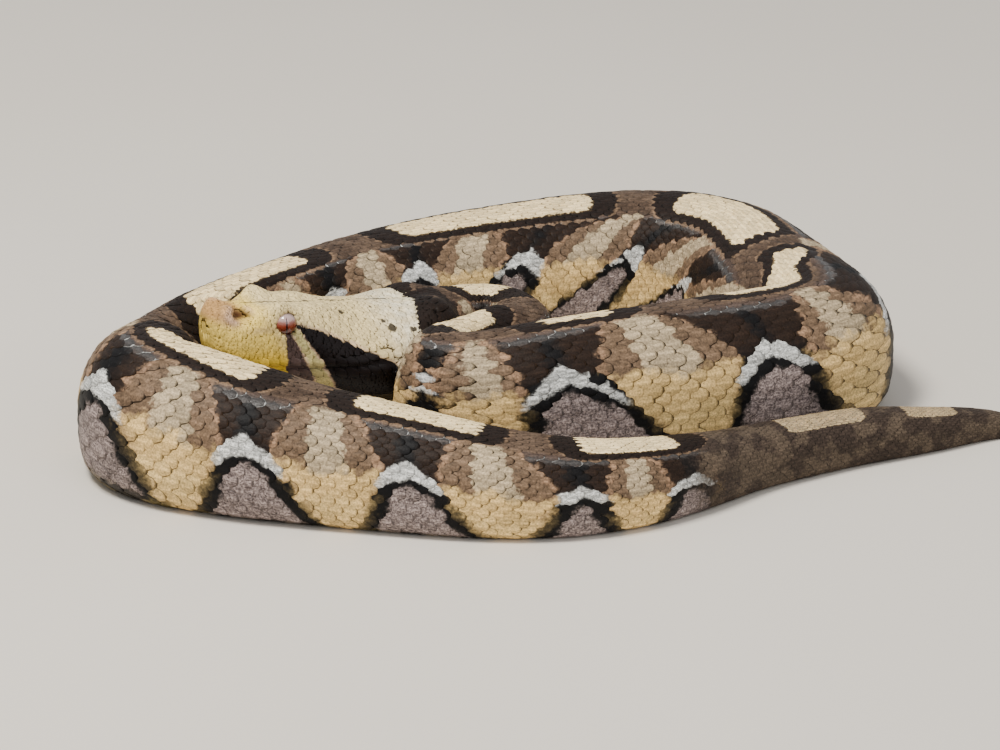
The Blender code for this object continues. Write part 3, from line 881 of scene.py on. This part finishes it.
class Paint(Nodes):
    """Colours laid over one another in a material, each where a distance is positive.

    Every edge is a little ragged, as where scales of two colours meet.
    """

    def __init__(self, name, ground):
        super().__init__(name)
        self.top = ground
        place = self.add("TexCoord")["Object"]
        self.ragged = self.math("MULTIPLY_ADD", self.noise(place, 520, 2), 3.6, -1.8)
        self.fine = self.noise(place, 1150, 3)
        self.middling = self.noise(place, 260, 3)
        self.coarse = self.noise(place, 85, 2)
        self.streaks = self.noise(self.own_place(), 1.0, 2)

    def own_place(self):
        """A place on the scale itself, drawn out along it and different on every scale."""
        _, along, _ = self.read("way")
        shade, _, far = self.read("scale")
        stretched = (self.math("MULTIPLY", value, factor)
                     for value, factor in ((along, 7.0), (far, 2.0), (shade, 90)))
        return self.add("CombineXYZ", enumerate(stretched))[0]

    def both(self, first, second):
        return self.math("MINIMUM", first, second)

    def past(self, value, start, steepness=1.0):
        """A distance that is positive where a value is past its start."""
        return self.math("MULTIPLY_ADD", value, steepness, -start * steepness)

    def share(self, distance, soft, ragged, most=1.0):
        """0 outside, most inside, over a soft and ragged edge."""
        rough_edge = self.math("MULTIPLY_ADD", self.ragged, ragged, distance)
        return self.rescaled(rough_edge, -soft, soft, 0.0, most, "SMOOTHSTEP")

    def lay(self, colour, inside, soft=0.35, ragged=0.6, most=1.0):
        """Lays a colour inside a distance, or inside all of several, and gives its share."""
        if isinstance(inside, tuple):
            inside = functools.reduce(self.both, inside)
        share = self.share(inside, soft, ragged, most)
        self.top = self.mix(share, self.top, colour)
        return share


def paint_flanks(paint, rim):
    """Diamonds, and the lens, white cap and plum patch between them, with painted glints on
    the lens.
    """
    lay, past = paint.lay, paint.past
    inside, stripe, level = paint.read("diamond")
    lens, cap, plum = paint.read("between")
    _, _, dusk = paint.read("back")
    lay(RIM_TAN, past(rim, 0.5, 2), 0.6, 0.1, 0.55)
    lay(BLACK, dusk, 3.0, 1.5)
    lay(BLACK, past(level, CAP_TOP + 6), 3.0, 1.5)
    lay(PLUM, plum, 0.8, 1.4)
    lay(PLUM_PALE, (plum, past(paint.streaks, 0.5, 9)), 1.4, 0.6, 0.5)
    lay(PLUM_PALE, (plum, past(paint.fine, 0.53, 14)), 1.4, 0.3, 0.4)
    lay(PLUM_PALE * RIM_LIFT_AND_GLINT, (plum, past(rim, 0.66, 4)), 0.3, 0.2, 0.75)
    lay(OLIVE, past(level, 80), 4.0, 2.5, 0.85)
    lay(BLACK, (past(level, 78), past(paint.coarse, 0.52, 40)), 1.2, 0.8, 0.9)
    lay(SNOW_GREY, cap)
    lay(SNOW, (cap, past(paint.streaks, 0.5, 8)), 0.8, 0.3, 0.7)
    lay(SNOW * RIM_LIFT_AND_GLINT, (cap, past(rim, 0.55, 3)), 0.4, 0.3, 0.9)
    lay(LENS_BROWN, lens)
    wet = lay(LENS_GREY, (lens, past(level, 20.5)), 1.6, 0.8, 0.85)
    # painted highlight: white glints on the rims of the lens' lowest scales
    lay(SNOW * RIM_LIFT_AND_GLINT, (lens, past(level, 19.5), past(rim, 0.5, 3),
                          past(paint.coarse, 0.43, 60)), 0.5, 0.3, 0.9)
    lay(WING_BROWN, inside)
    lay(PINK_BROWN, (inside, past(paint.middling, 0.5, 16)), 2.0, 0.4, 0.5)
    lay(PINK_EDGE, (inside, paint.math("SUBTRACT", 1.5, inside)), 0.9, 1.0, 0.6)
    lay(STRIPE_GREY, (inside, stripe), 0.6, 0.9)
    low = paint.math("MULTIPLY_ADD", paint.coarse, 16, level)
    lay(TAN, (inside, past(low, 56)), 2.5, 1.0)
    lay(STRAW, (inside, past(low, 70)), 6.0, 1.0, 0.6)
    return level, wet


def paint_back(paint, level):
    """The chain of pale bars in dark belts, and the plain brown tail."""
    lay, past = paint.lay, paint.past
    bar, belt, _ = paint.read("back")
    way = paint.read("way")[0]
    strip = paint.math("SUBTRACT", DIAMOND_TOP, level)
    lay(WAIST, strip, 0.8, 0.8)
    lay(WAIST_DARK, (strip, past(paint.coarse, 0.5, 40)), 3.0, 1.5, 0.7)
    behind = paint.math("SUBTRACT", TAIL_PLAIN, way)
    lay(TAIL_BROWN, behind, 14, 6)
    lay(TAIL_PATCH, (behind, past(paint.coarse, 0.5, 60)), 4, 3, 0.6)
    lay(LINE_TAN, (past(way, TAIL_PLAIN - 20), paint.math("ADD", belt, 1.1)), 0.5, 0.7, 0.85)
    lay(BELT_BROWN, (belt, past(way, TAIL_PLAIN - 34)))
    lay(CREAM, bar, 0.3, 0.75)
    lay(TAIL_GREY, (bar, paint.math("SUBTRACT", TAIL_PLAIN - 36, way)), 0.5, 1.0)
    lay(RUST, (bar, past(paint.fine, 0.59, 22)), 0.8, 0.2, 0.5)
    lay(TAN, (bar, past(paint.streaks, 0.55, 9)), 1.0, 0.3, 0.6)
    lay(BELLY, past(level, 93), 4.0, 2.0)
    lay(BLACK, (past(level, 86), past(paint.coarse, 0.56, 40)), 1.2, 0.8, 0.8)


def paint_head(paint):
    """The dark collar and the pale head with its cheek wedges."""
    lay = paint.lay
    on_head, collar, line = paint.read("nape")
    cheek, before, stripe = paint.read("face")
    lay(BELT_BROWN, collar, 0.5, 1.2)
    lay(paint.add("Attribute", attribute_name="soft")["Color"], on_head, 0.4, 1.6)
    lay(CHEEK_EDGE, (on_head, paint.math("ADD", cheek, 1.2)), 0.5, 0.4, 0.7)
    # the cheek's dark marking, made near black with painted shade under the head
    lay(CHEEK_DARK_AND_SHADE, cheek, 0.35, 0.4)
    lay(CHEEK_PURPLE, before, 0.35, 0.4)
    lay(CHEEK_EDGE, paint.math("ADD", stripe, 0.5), 0.4, 0.35, 0.9)
    lay(CHEEK_PALE, stripe, 0.4, 0.35)
    lay(BELT_BROWN, line, 0.3, 0.25, 0.92)


def scaly_finish(name, roughness, relief, contrast):
    """The snake's markings, read from the distances stored in the mesh."""
    paint = Paint(name, DARK_BROWN)
    shade, rim, _ = paint.read("scale")
    from_keel = paint.math("ABSOLUTE", paint.read("way")[1])
    level, wet = paint_flanks(paint, rim)
    paint_back(paint, level)
    paint_head(paint)
    # painted highlight: a pale line along each scale's keel
    keel_highlight = paint.share(paint.math("SUBTRACT", KEEL_SIDE, from_keel), 0.12, 0.03)
    on_rim = paint.share(paint.past(rim, 0.5), 0.4, 0.05)
    for factor in (paint.rescaled(paint.fine, 0.3, 0.7, 1 - contrast, 1 + 0.9 * contrast),
                   paint.math("MULTIPLY_ADD", paint.streaks, 2 * contrast, 1 - contrast),
                   paint.math("MULTIPLY_ADD", keel_highlight, 0.8 * contrast, 1),
                   paint.math("MULTIPLY_ADD", on_rim, -1.5 * contrast, 1)):
        shade = paint.math("MULTIPLY", shade, factor)
    pores = paint.add("Bump", {"Strength": relief, "Distance": PORE_DEPTH,
                               "Height": paint.fine})
    dull = paint.math("MULTIPLY_ADD", wet, WET_ROUGHNESS - roughness, roughness)
    for key, value in (("Base Color", paint.mix(1.0, paint.top, shade, "MULTIPLY")),
                       ("Roughness", dull), ("Normal", pores["Normal"]),
                       ("Specular IOR Level", 0.14)):
        paint.feed(paint.shader[key], value)
    return paint.material


def eye_finish():
    """Silvery pink above, red brown below, with an upright slit, painted shade round its edge
    in the socket, and a wet gloss.
    """
    eye = Nodes("viper_eye")
    place = eye.add("Attribute", attribute_name="eye_place")["Vector"]
    across, out, up = eye.add("SeparateXYZ", {"Vector": place})
    stretched = eye.add("Mapping", {"Vector": place, "Scale": (2.5, 1.0, 0.8)})[0]
    height = eye.math("MULTIPLY_ADD", eye.noise(stretched, 7, 5), 0.35, up)
    iris = eye.ramp(eye.rescaled(height, -0.36, 1.44), [
        (0, (96, 34, 22)), (0.30, (142, 58, 38)), (0.48, (150, 96, 84)),
        (0.60, (186, 156, 150)), (1, (178, 158, 154))])
    half_slit = eye.math("MULTIPLY_ADD", eye.math("MULTIPLY", up, up), -0.13, 0.085)
    slit = eye.math("LESS_THAN", eye.math("ABSOLUTE", across), half_slit)
    shown = eye.mix(slit, iris, paint_colour(52, 16, 14))
    # painted shade: the eyeball darkens towards its edge, where it sinks into the socket
    socket_shaded = eye.mix(eye.rescaled(out, 0.52, 0.15, 0.0, 0.9), shown, paint_colour(48, 30, 28))
    for key, value in (("Base Color", socket_shaded), ("Roughness", 0.12), ("Coat Weight", 0.6),
                       ("Coat Roughness", 0.05)):
        eye.feed(eye.shader[key], value)
    return eye.material


def floor_finish():
    """Matt, with a faint cloud in its grey."""
    nodes = Nodes("studio_floor")
    cloud = nodes.noise(nodes.add("TexCoord")["Object"], 3, 2)
    tone = nodes.ramp(cloud, [(0, (214, 206, 194)), (1, (222, 215, 204))])
    nodes.feed(nodes.shader["Base Color"], tone)
    nodes.feed(nodes.shader["Roughness"], 0.85)
    return nodes.material


# ---- making meshes --------------------------------------------------------------------

def in_frame(points):
    """Points of the route's numbers as metres in the frame."""
    return (points - np.array([COIL_MIDDLE[0], COIL_MIDDLE[1], 0])) * MM


def new_piece(name, points, quads, many_sided=None):
    """A mesh object from an array of points, an array of quads and one of larger faces."""
    mesh = bpy.data.meshes.new(name)
    mesh.vertices.add(len(points))
    mesh.vertices.foreach_set("co", in_frame(points).ravel())
    groups = [quads] if many_sided is None else [quads, many_sided]
    corners = np.concatenate([group.ravel() for group in groups])
    sides = np.concatenate([np.full(len(group), group.shape[1]) for group in groups])
    mesh.loops.add(len(corners))
    mesh.loops.foreach_set("vertex_index", corners.astype(np.int32))
    mesh.polygons.add(len(sides))
    starts = np.concatenate([[0], np.cumsum(sides)[:-1]])
    mesh.polygons.foreach_set("loop_start", starts.astype(np.int32))
    mesh.update(calc_edges=True)
    mesh.validate()
    mesh.shade_smooth()
    made = bpy.data.objects.new(name, mesh)
    bpy.context.scene.collection.objects.link(made)
    return made


def store_markings(mesh, made, shade, rim, along, way, aside=0.0):
    """Keeps the distances into markings, and each scale's own shading, at every point."""
    scale = np.stack(np.broadcast_arrays(shade, rim, along), axis=-1)
    way = np.stack(np.broadcast_arrays(way, aside, 0.0), axis=-1)
    for name, values in {**made, "scale": scale, "way": way}.items():
        values = np.maximum(values.reshape(-1, 3), -50 if name != "soft" else 0)
        stored = mesh.attributes.new(name, "FLOAT_VECTOR", "POINT")
        stored.data.foreach_set("vector", values.astype(np.float32).ravel())


def add_uv(mesh, name, places):
    """A UV map from one place for every point."""
    layer = mesh.uv_layers.new(name=name)
    corners = np.zeros(len(mesh.loops), np.int32)
    mesh.loops.foreach_get("vertex_index", corners)
    layer.data.foreach_set("uv", places[corners].astype(np.float32).ravel())


SKIN_SHADE = 0.45                # the skin is darker than its scales, less so on the head
HEAD_SKIN_SHADE = 0.8


def make_skin(finish):
    """The one skin over tail, trunk, neck, head and jaw."""
    rings = len(NET_WAYS)
    points = SKIN[:, :COLUMNS].reshape(-1, 3)
    index = np.arange(rings * COLUMNS).reshape(rings, COLUMNS)
    beside = np.roll(index, -1, axis=1)
    quads = np.stack([index[:-1], index[1:], beside[1:], beside[:-1]], axis=-1).reshape(-1, 4)
    ends = np.stack([index[0], index[-1][::-1]])
    made = new_piece("viper_skin", points, quads, ends)
    around = np.broadcast_to(np.linspace(-1, 1, COLUMNS + 1)[:COLUMNS], (rings, COLUMNS))
    way = np.broadcast_to(NET_WAYS[:, None], around.shape)
    shade = np.where(way > NAPE - 4, HEAD_SKIN_SHADE, SKIN_SHADE)
    store_markings(made.data, markings(way, around, SKIN[:, :COLUMNS]), shade, 0.0, 0.0, way)
    made.data.materials.append(finish)
    return made


# ---- scales ---------------------------------------------------------------------------

UNDERSIDE = 0.15                 # how far a scale's underside lies in the skin, in rises
ROOT = 0.62                      # how much of a scale lies headwards of its place
SCALE_OVER_FLOOR = 0.02
WHOLE_SCALE = 0.45               # how far a scale takes one marking, instead of its share


def plate(stations, sides, pointed, keeled):
    """One closed scale as points (along, aside, up, rim) and faces, from root to tip.

    Along runs from 0 at the root to 1 at the tip, aside from -1 to 1 at its widest, and up
    is in shares of the scale's rise. Rim is 1 at its edges and 0 over its middle.
    """
    along = np.array(stations)
    past = np.clip((along - 0.5) / 0.5, 0, 1)
    half = np.where(along < 0.5, 0.66 + 0.34 * np.sin(along * math.pi),
                    (1 - past ** 2.3) ** (0.52 + 0.3 * pointed))
    half = np.maximum(half, 0.16)
    side = np.array(sides)
    aside = half[:, None] * side[None]
    far = np.broadcast_to(along[:, None], aside.shape)
    middle = np.abs(side)[None] < 0.01
    keel = keeled * middle * np.clip((far - 0.2) / 0.3, 0, 1) * (1.15 - far)
    dome = (1 - np.abs(side[None]) ** 3) * half[:, None]
    drop = 0.16 * np.clip((far - 0.85) / 0.15, 0, 1)
    up = 0.08 + 0.66 * far + 0.26 * dome + keel - drop
    rim = np.maximum(np.abs(side)[None] >= 0.99, far > 0.99) * 1.0
    top = np.stack([far, aside, up, rim], axis=-1)
    inner = top[1:-1, 1:-1] * (1, 1, 0, 0) - (0, 0, UNDERSIDE, 0)
    index = np.arange(top.shape[0] * top.shape[1]).reshape(top.shape[:2])
    below = index.copy()
    below[1:-1, 1:-1] = index.size + np.arange(inner.shape[0] * inner.shape[1]).reshape(
        inner.shape[:2])
    faces = [np.stack([net[:-1, :-1], net[:-1, 1:], net[1:, 1:], net[1:, :-1]], axis=-1)
             for net in (index, below)]
    faces[1] = faces[1][..., ::-1]
    points = np.concatenate([top.reshape(-1, 4), inner.reshape(-1, 4)])
    return points, np.concatenate(faces).reshape(-1, 4)


def lay_scales(name, shape, places, rise, finish, chance, rim_dark=0.5, parts=1):
    """Joined meshes of one scale shape, laid tailwards over the skin at many places.

    Places holds way, around, length and width of every scale. Rise is how high their tips
    stand, for each or for all.
    """
    template, faces = shape
    rise = np.broadcast_to(rise, len(places))
    along, aside, up, rim = template.T
    shades = chance.uniform(0.80, 1.14, len(places))
    pieces = []
    for part in range(parts):
        take = slice(part * len(places) // parts, (part + 1) * len(places) // parts)
        way, around, length, width = places[take].T[..., None]
        ways = way - length * (along - ROOT)
        rounds = around + aside * width / 2 / np.maximum(at(ways, GIRTH), 6)
        out = look_up(SKIN_OUT, ways, rounds)
        points = look_up(SKIN, ways, rounds) + out * (up * rise[take, None])[..., None]
        points[..., 2] = np.maximum(points[..., 2], SCALE_OVER_FLOOR)
        count, corners = points.shape[:2]
        offset = (np.arange(count) * corners)[:, None, None]
        made = new_piece(name if parts == 1 else f"{name}_{part + 1}", points.reshape(-1, 3),
                         (faces[None] + offset).reshape(-1, 4))
        roots = look_up(SKIN, way, around)
        own = markings(ways, rounds, points)
        whole = markings(way, around, roots)
        for key in own:
            follow = 0.0 if key == "soft" else WHOLE_SCALE
            own[key] = (1 - follow) * own[key] + follow * whole[key]
        # each scale's random tone and darker rim, with painted shade towards its root, which
        # lies under the scale ahead
        shade = shades[take, None] * (1 - rim_dark * rim) * np.clip(0.62 + 0.7 * along, 0, 1)
        store_markings(made.data, own, shade, rim, along, ways, aside)
        patch = np.stack([way / (WAY[-1] + 4) + 0.003 * (along - 0.5),
                          (around + 1) / 2 + 0.0015 * aside], axis=-1)
        add_uv(made.data, "OFBake", patch.reshape(-1, 2))
        made.data.materials.append(finish)
        pieces.append(made)
    return pieces


BODY_PLATE = plate((0, 0.28, 0.5, 0.7, 0.88, 1), (-1, -0.78, 0, 0.78, 1), 0.3, 0.20)
BELLY_PLATE = plate((0, 0.4, 0.75, 1), np.linspace(-1, 1, 17), 0.0, 0.0)
HEAD_PLATE = plate((0, 0.4, 0.75, 1), (-1, -0.6, 0, 0.6, 1), 0.3, 0.25)
LIP_PLATE = plate((0, 0.1, 0.5, 0.9, 1), (-1, -0.8, 0, 0.8, 1), -0.5, 0.0)

ROWS_A_SIDE = 24                 # rows of scales from the middle of the back to the belly
NARROWEST_ROW = 2.5              # spacing of the rows on the back, at full girth
WIDEST_ROW = 4.5                 # and low on the flank
OVERLAP_ALONG = 1.75             # sizes of the scales, in spacings
OVERLAP_ACROSS = 2.1
BELLY_OVERLAP = 3.0              # how far a belly plate goes under the last rows
BODY_RISE = 1.4                  # how high the scales' tips stand, on the thick body,
BELLY_RISE = 0.7                 # under it,
HEAD_RISE = 0.42                 # on the head, and along its lips
LIP_RISE = 0.55
LIP_ROWS = (3.0, -2.9)           # rows of lip scales, over and under the mouth's line

# Spacing of the scales along the body: way, spacing.
SPACING = [(0, 2.8), (100, 4.0), (200, 5.2), (350, 6.4), (500, 7.0), (900, 7.2), (1000, 8.2),
           (1100, 8.6), (1180, 7.4), (1240, 5.4), (1334, 4.2)]


def scale_stops():
    """Ways of the cross rows of scales, closer where the body is thin."""
    stops = [2.0]
    while stops[-1] < NAPE - 2:
        stops.append(stops[-1] + float(table_curve(stops[-1], SPACING)))
    return np.array(stops)


def row_heights():
    """Distances of the rows of scales from the middle of the back, at full girth."""
    rows = np.arange(ROWS_A_SIDE + 1)
    spacing = NARROWEST_ROW + (WIDEST_ROW - NARROWEST_ROW) * rows / ROWS_A_SIDE
    return np.concatenate([[0], np.cumsum((spacing[1:] + spacing[:-1]) / 2)]), spacing


def body_scale_places():
    """Way, around, length and width of every scale on the back and flanks."""
    stops = scale_stops()
    counts = np.arange(len(stops))
    heights, spacing = row_heights()
    places = []
    for row in range(-ROWS_A_SIDE, ROWS_A_SIDE + 1):
        number = counts[:-1] + 0.5 * (row % 2)
        way = np.interp(number, counts, stops)
        pitch = np.interp(number, counts, np.gradient(stops))
        around = unrolled(way, np.full(len(way), math.copysign(heights[abs(row)], row)))
        width = OVERLAP_ACROSS * spacing[abs(row)] * at(way, GIRTH) / FULL_GIRTH
        places.append(np.stack([way, around, OVERLAP_ALONG * pitch, width], axis=-1))
    places = np.concatenate(places)
    return places[np.argsort(places[:, 0], kind="stable")]


def make_body_scales(finish, chance):
    """Keeled scales of the back and flanks, in a few pieces from tail to neck."""
    places = body_scale_places()
    girth = at(places[:, 0], GIRTH) / FULL_GIRTH
    places[:, 2:] *= chance.uniform(0.95, 1.05, (len(places), 2))
    rise = BODY_RISE * girth ** THIN * chance.uniform(0.85, 1.15, len(places))
    return lay_scales("body_scales", BODY_PLATE, places, rise, finish, chance, 0.66, 5)


def make_belly_scales(finish, chance):
    """Broad plates under the belly, one for each cross row."""
    heights, _ = row_heights()
    stops = scale_stops()[:-1]
    girth = at(stops, GIRTH) / FULL_GIRTH
    width = 2 * (FULL_GIRTH - heights[-1] + BELLY_OVERLAP) * girth
    places = np.stack([stops, np.ones(len(stops)), 1.6 * np.gradient(stops), width], axis=-1)
    rise = BELLY_RISE * girth ** THIN
    return lay_scales("belly_scales", BELLY_PLATE, places, rise, finish, chance)


def head_spacing(forward):
    """Spacing of the head's small scales."""
    return np.interp(forward, [-10, 20, 60, 90, 108], [2.8, 2.7, 2.4, 2.0, 1.6])


def around_at_height(way, up, side):
    """The around, on one side of the head, where its skin is at a height."""
    rounds = side * np.linspace(0.04, 0.96, 200)
    heights = look_up(SKIN, np.full(200, way), rounds)[:, 2]
    return rounds[np.abs(heights - up).argmin()]


def make_lip_scales(finish, chance):
    """Larger scales along both lips."""
    rows = []
    for side in (1, -1):
        for rise in LIP_ROWS:
            forward = HEAD_LENGTH - 6
            while forward > 26:
                size = 5.2 if forward < 90 else 4.0
                up = mouth_height(forward) + rise
                around = around_at_height(NAPE + forward, up, side)
                rows.append((NAPE + forward, around, size * 1.2, 5.0))
                forward -= size * 0.94
    return lay_scales("lip_scales", LIP_PLATE, np.array(rows), LIP_RISE, finish, chance, 0.35)


def make_head_scales(finish, chance):
    """Small overlapping scales over the crown, cheeks, snout and throat."""
    rows = []
    forward = -10.0
    count = 0
    while forward < HEAD_LENGTH - 0.6:
        gap = float(head_spacing(forward))
        way = NAPE + forward
        girth = 2 * float(at(way, GIRTH))
        number = max(6, 2 * round(girth / gap / 2))
        around = (np.arange(number) + 0.5 * (count % 2)) / number * 2 - 1
        rows.append(np.stack([np.full(number, way), around, np.full(number, gap * 1.75),
                              np.full(number, girth / number * 2.0)], axis=-1))
        forward += gap * 0.5 * (1.0 if forward < HEAD_LENGTH - 12 else 0.8)
        count += 1
    places = np.concatenate(rows)
    girth = at(places[:, 0], GIRTH)
    places[:, 0] += chance.uniform(-0.5, 0.5, len(places))
    places[:, 1] += chance.uniform(-0.4, 0.4, len(places)) / girth
    places[:, 2:] *= chance.uniform(0.85, 1.2, (len(places), 2))
    local = to_head(look_up(SKIN, places[:, 0], places[:, 1]))
    eye = mirrored_distance(local, EYE_PLACE, 1.0)
    pit, _ = nostril_shapes(local)
    level = local[:, 2] - mouth_height(local[:, 0])
    lips = (np.abs(level) < 5.4) & (local[:, 0] > 22) & (np.abs(local[:, 1]) > 6)
    places = places[(eye > EYE_RADIUS + 1.5) & (pit < 0.35) & ~lips]
    rise = HEAD_RISE * chance.uniform(0.8, 1.2, len(places))
    return lay_scales("head_scales", HEAD_PLATE, places, rise, finish, chance, 0.36, 2)


def make_eye_ring_scales(finish, chance):
    """Small scales set close together round both eyes."""
    local = to_head(SKIN.reshape(-1, 3))
    forward, aside, up = EYE_PLACE
    places = []
    for side in (1, -1):
        for turn in np.linspace(0, 2 * math.pi, 17)[:-1]:
            reach = EYE_RADIUS + 0.7
            target = (forward + reach * math.cos(turn), side * (aside + 1.5),
                      up + reach * math.sin(turn))
            knot = np.abs(local - target).sum(axis=1).argmin()
            row, column = divmod(knot, COLUMNS + 1)
            places.append((NET_WAYS[row], column / COLUMNS * 2 - 1, 3.0, 2.6))
    return lay_scales("eye_ring_scales", HEAD_PLATE, np.array(places), 0.6, finish, chance,
                      0.3)


# ---- eyes -----------------------------------------------------------------------------

def make_eye(name, side, finish):
    """An eyeball in its solid's place, with its own directions kept for the finish."""
    low, high = (np.array(corner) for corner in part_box(name))
    radius = (high - low)[2] / 2
    bpy.ops.mesh.primitive_uv_sphere_add(segments=64, ring_count=40, radius=radius)
    ball = bpy.context.object
    ball.name = name + "_ball"
    ball.data.name = ball.name
    bpy.ops.object.shade_smooth()
    ball.select_set(False)
    places = np.zeros(len(ball.data.vertices) * 3)
    ball.data.vertices.foreach_get("co", places)
    places = places.reshape(-1, 3)
    forward = np.array([math.cos(HEADING), math.sin(HEADING), 0])
    out = side * np.array([-forward[1], forward[0], 0]) + 0.30 * forward
    out /= np.linalg.norm(out)
    before = np.cross(out, (0, 0, 1)) * side
    own = np.stack([places @ before, places @ out, places[:, 2]], axis=-1)
    own /= np.abs(places).max()
    own_place = ball.data.attributes.new("eye_place", "FLOAT_VECTOR", "POINT")
    own_place.data.foreach_set("vector", own.astype(np.float32).ravel())
    ball.data.vertices.foreach_set("co", (places + (low + high) / 2).ravel())
    ball.data.update()
    ball.data.materials.append(finish)
    return ball


# ---- the model ------------------------------------------------------------------------

def dress_snake():
    """Skin, scales and eyes, each with the nodes it stands for."""
    chance = np.random.default_rng(11)
    skin = make_skin(scaly_finish("scaly_skin", 0.62, 0.5, 0.2))
    scale_finish = scaly_finish("dry_scales", 0.55, 0.6, 0.40)
    head_finish = scaly_finish("fine_head_scales", 0.50, 0.4, 0.18)
    flesh = [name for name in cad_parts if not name.startswith("eye")]
    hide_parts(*flesh)
    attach(skin, "root")
    for piece in (make_body_scales(scale_finish, chance)
                  + make_belly_scales(scale_finish, chance)):
        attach(piece, "root")
    for piece in (make_head_scales(head_finish, chance) + make_lip_scales(head_finish, chance)
                  + make_eye_ring_scales(head_finish, chance)):
        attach(piece, "root")
    glossy = eye_finish()
    for name, side in (("eye_left", 1), ("eye_right", -1)):
        ball = make_eye(name, side, glossy)
        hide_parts(name)
        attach(ball, "root")


def lay_floor():
    bpy.ops.mesh.primitive_plane_add(size=24)
    floor = bpy.context.object
    floor.name = "studio_floor"
    floor.data.materials.append(floor_finish())
    floor.select_set(False)


def add_light(name, place, size, power, colour):
    """A square soft light that faces the snake."""
    lamp = bpy.data.lights.new(name, "AREA")
    lamp.size = size
    lamp.energy = power
    lamp.color = colour
    holder = bpy.data.objects.new(name, lamp)
    bpy.context.scene.collection.objects.link(holder)
    aim_at(holder, place, (0, 0, 0.03))


def aim_at(holder, place, target):
    """Puts a light or the camera at a place, looking at the target with its top up."""
    back = np.array(place, float) - target
    back /= np.linalg.norm(back)
    right = np.cross((0, 0, 1), back)
    right /= np.linalg.norm(right)
    up = np.cross(back, right)
    holder.location = place
    matrix = holder.matrix_world.to_3x3()
    for row in range(3):
        matrix[row] = (right[row], up[row], back[row])
    holder.rotation_euler = matrix.to_euler()


def light_studio():
    world = bpy.data.worlds.new("soft_daylight")
    bpy.context.scene.world = world
    world.use_nodes = True
    background = world.node_tree.nodes["Background"]
    background.inputs["Color"].default_value = (0.95, 0.97, 1.0, 1)
    background.inputs["Strength"].default_value = 0.55
    add_light("high_sun_panel", (-0.7, -0.5, 1.9), 0.6, 56, (1.0, 0.97, 0.91))
    add_light("front_fill", (0.9, -1.8, 1.2), 1.6, 15, (0.98, 0.98, 1.0))


CAMERA_RISE = math.radians(20)
CAMERA_AWAY = 2.2
LENS = 171.9


def place_camera():
    lens = bpy.data.cameras.new("camera")
    lens.lens = LENS
    lens.sensor_width = 36
    lens.clip_end = 20
    holder = bpy.data.objects.new("camera", lens)
    bpy.context.scene.collection.objects.link(holder)
    target = np.array([-COIL_MIDDLE[0] * MM, -COIL_MIDDLE[1] * MM, 0.03])
    away = np.array([0, -math.cos(CAMERA_RISE), math.sin(CAMERA_RISE)]) * CAMERA_AWAY
    aim_at(holder, target + away, target)
    bpy.context.scene.camera = holder


place_camera()
dress_snake()
lay_floor()
light_studio()
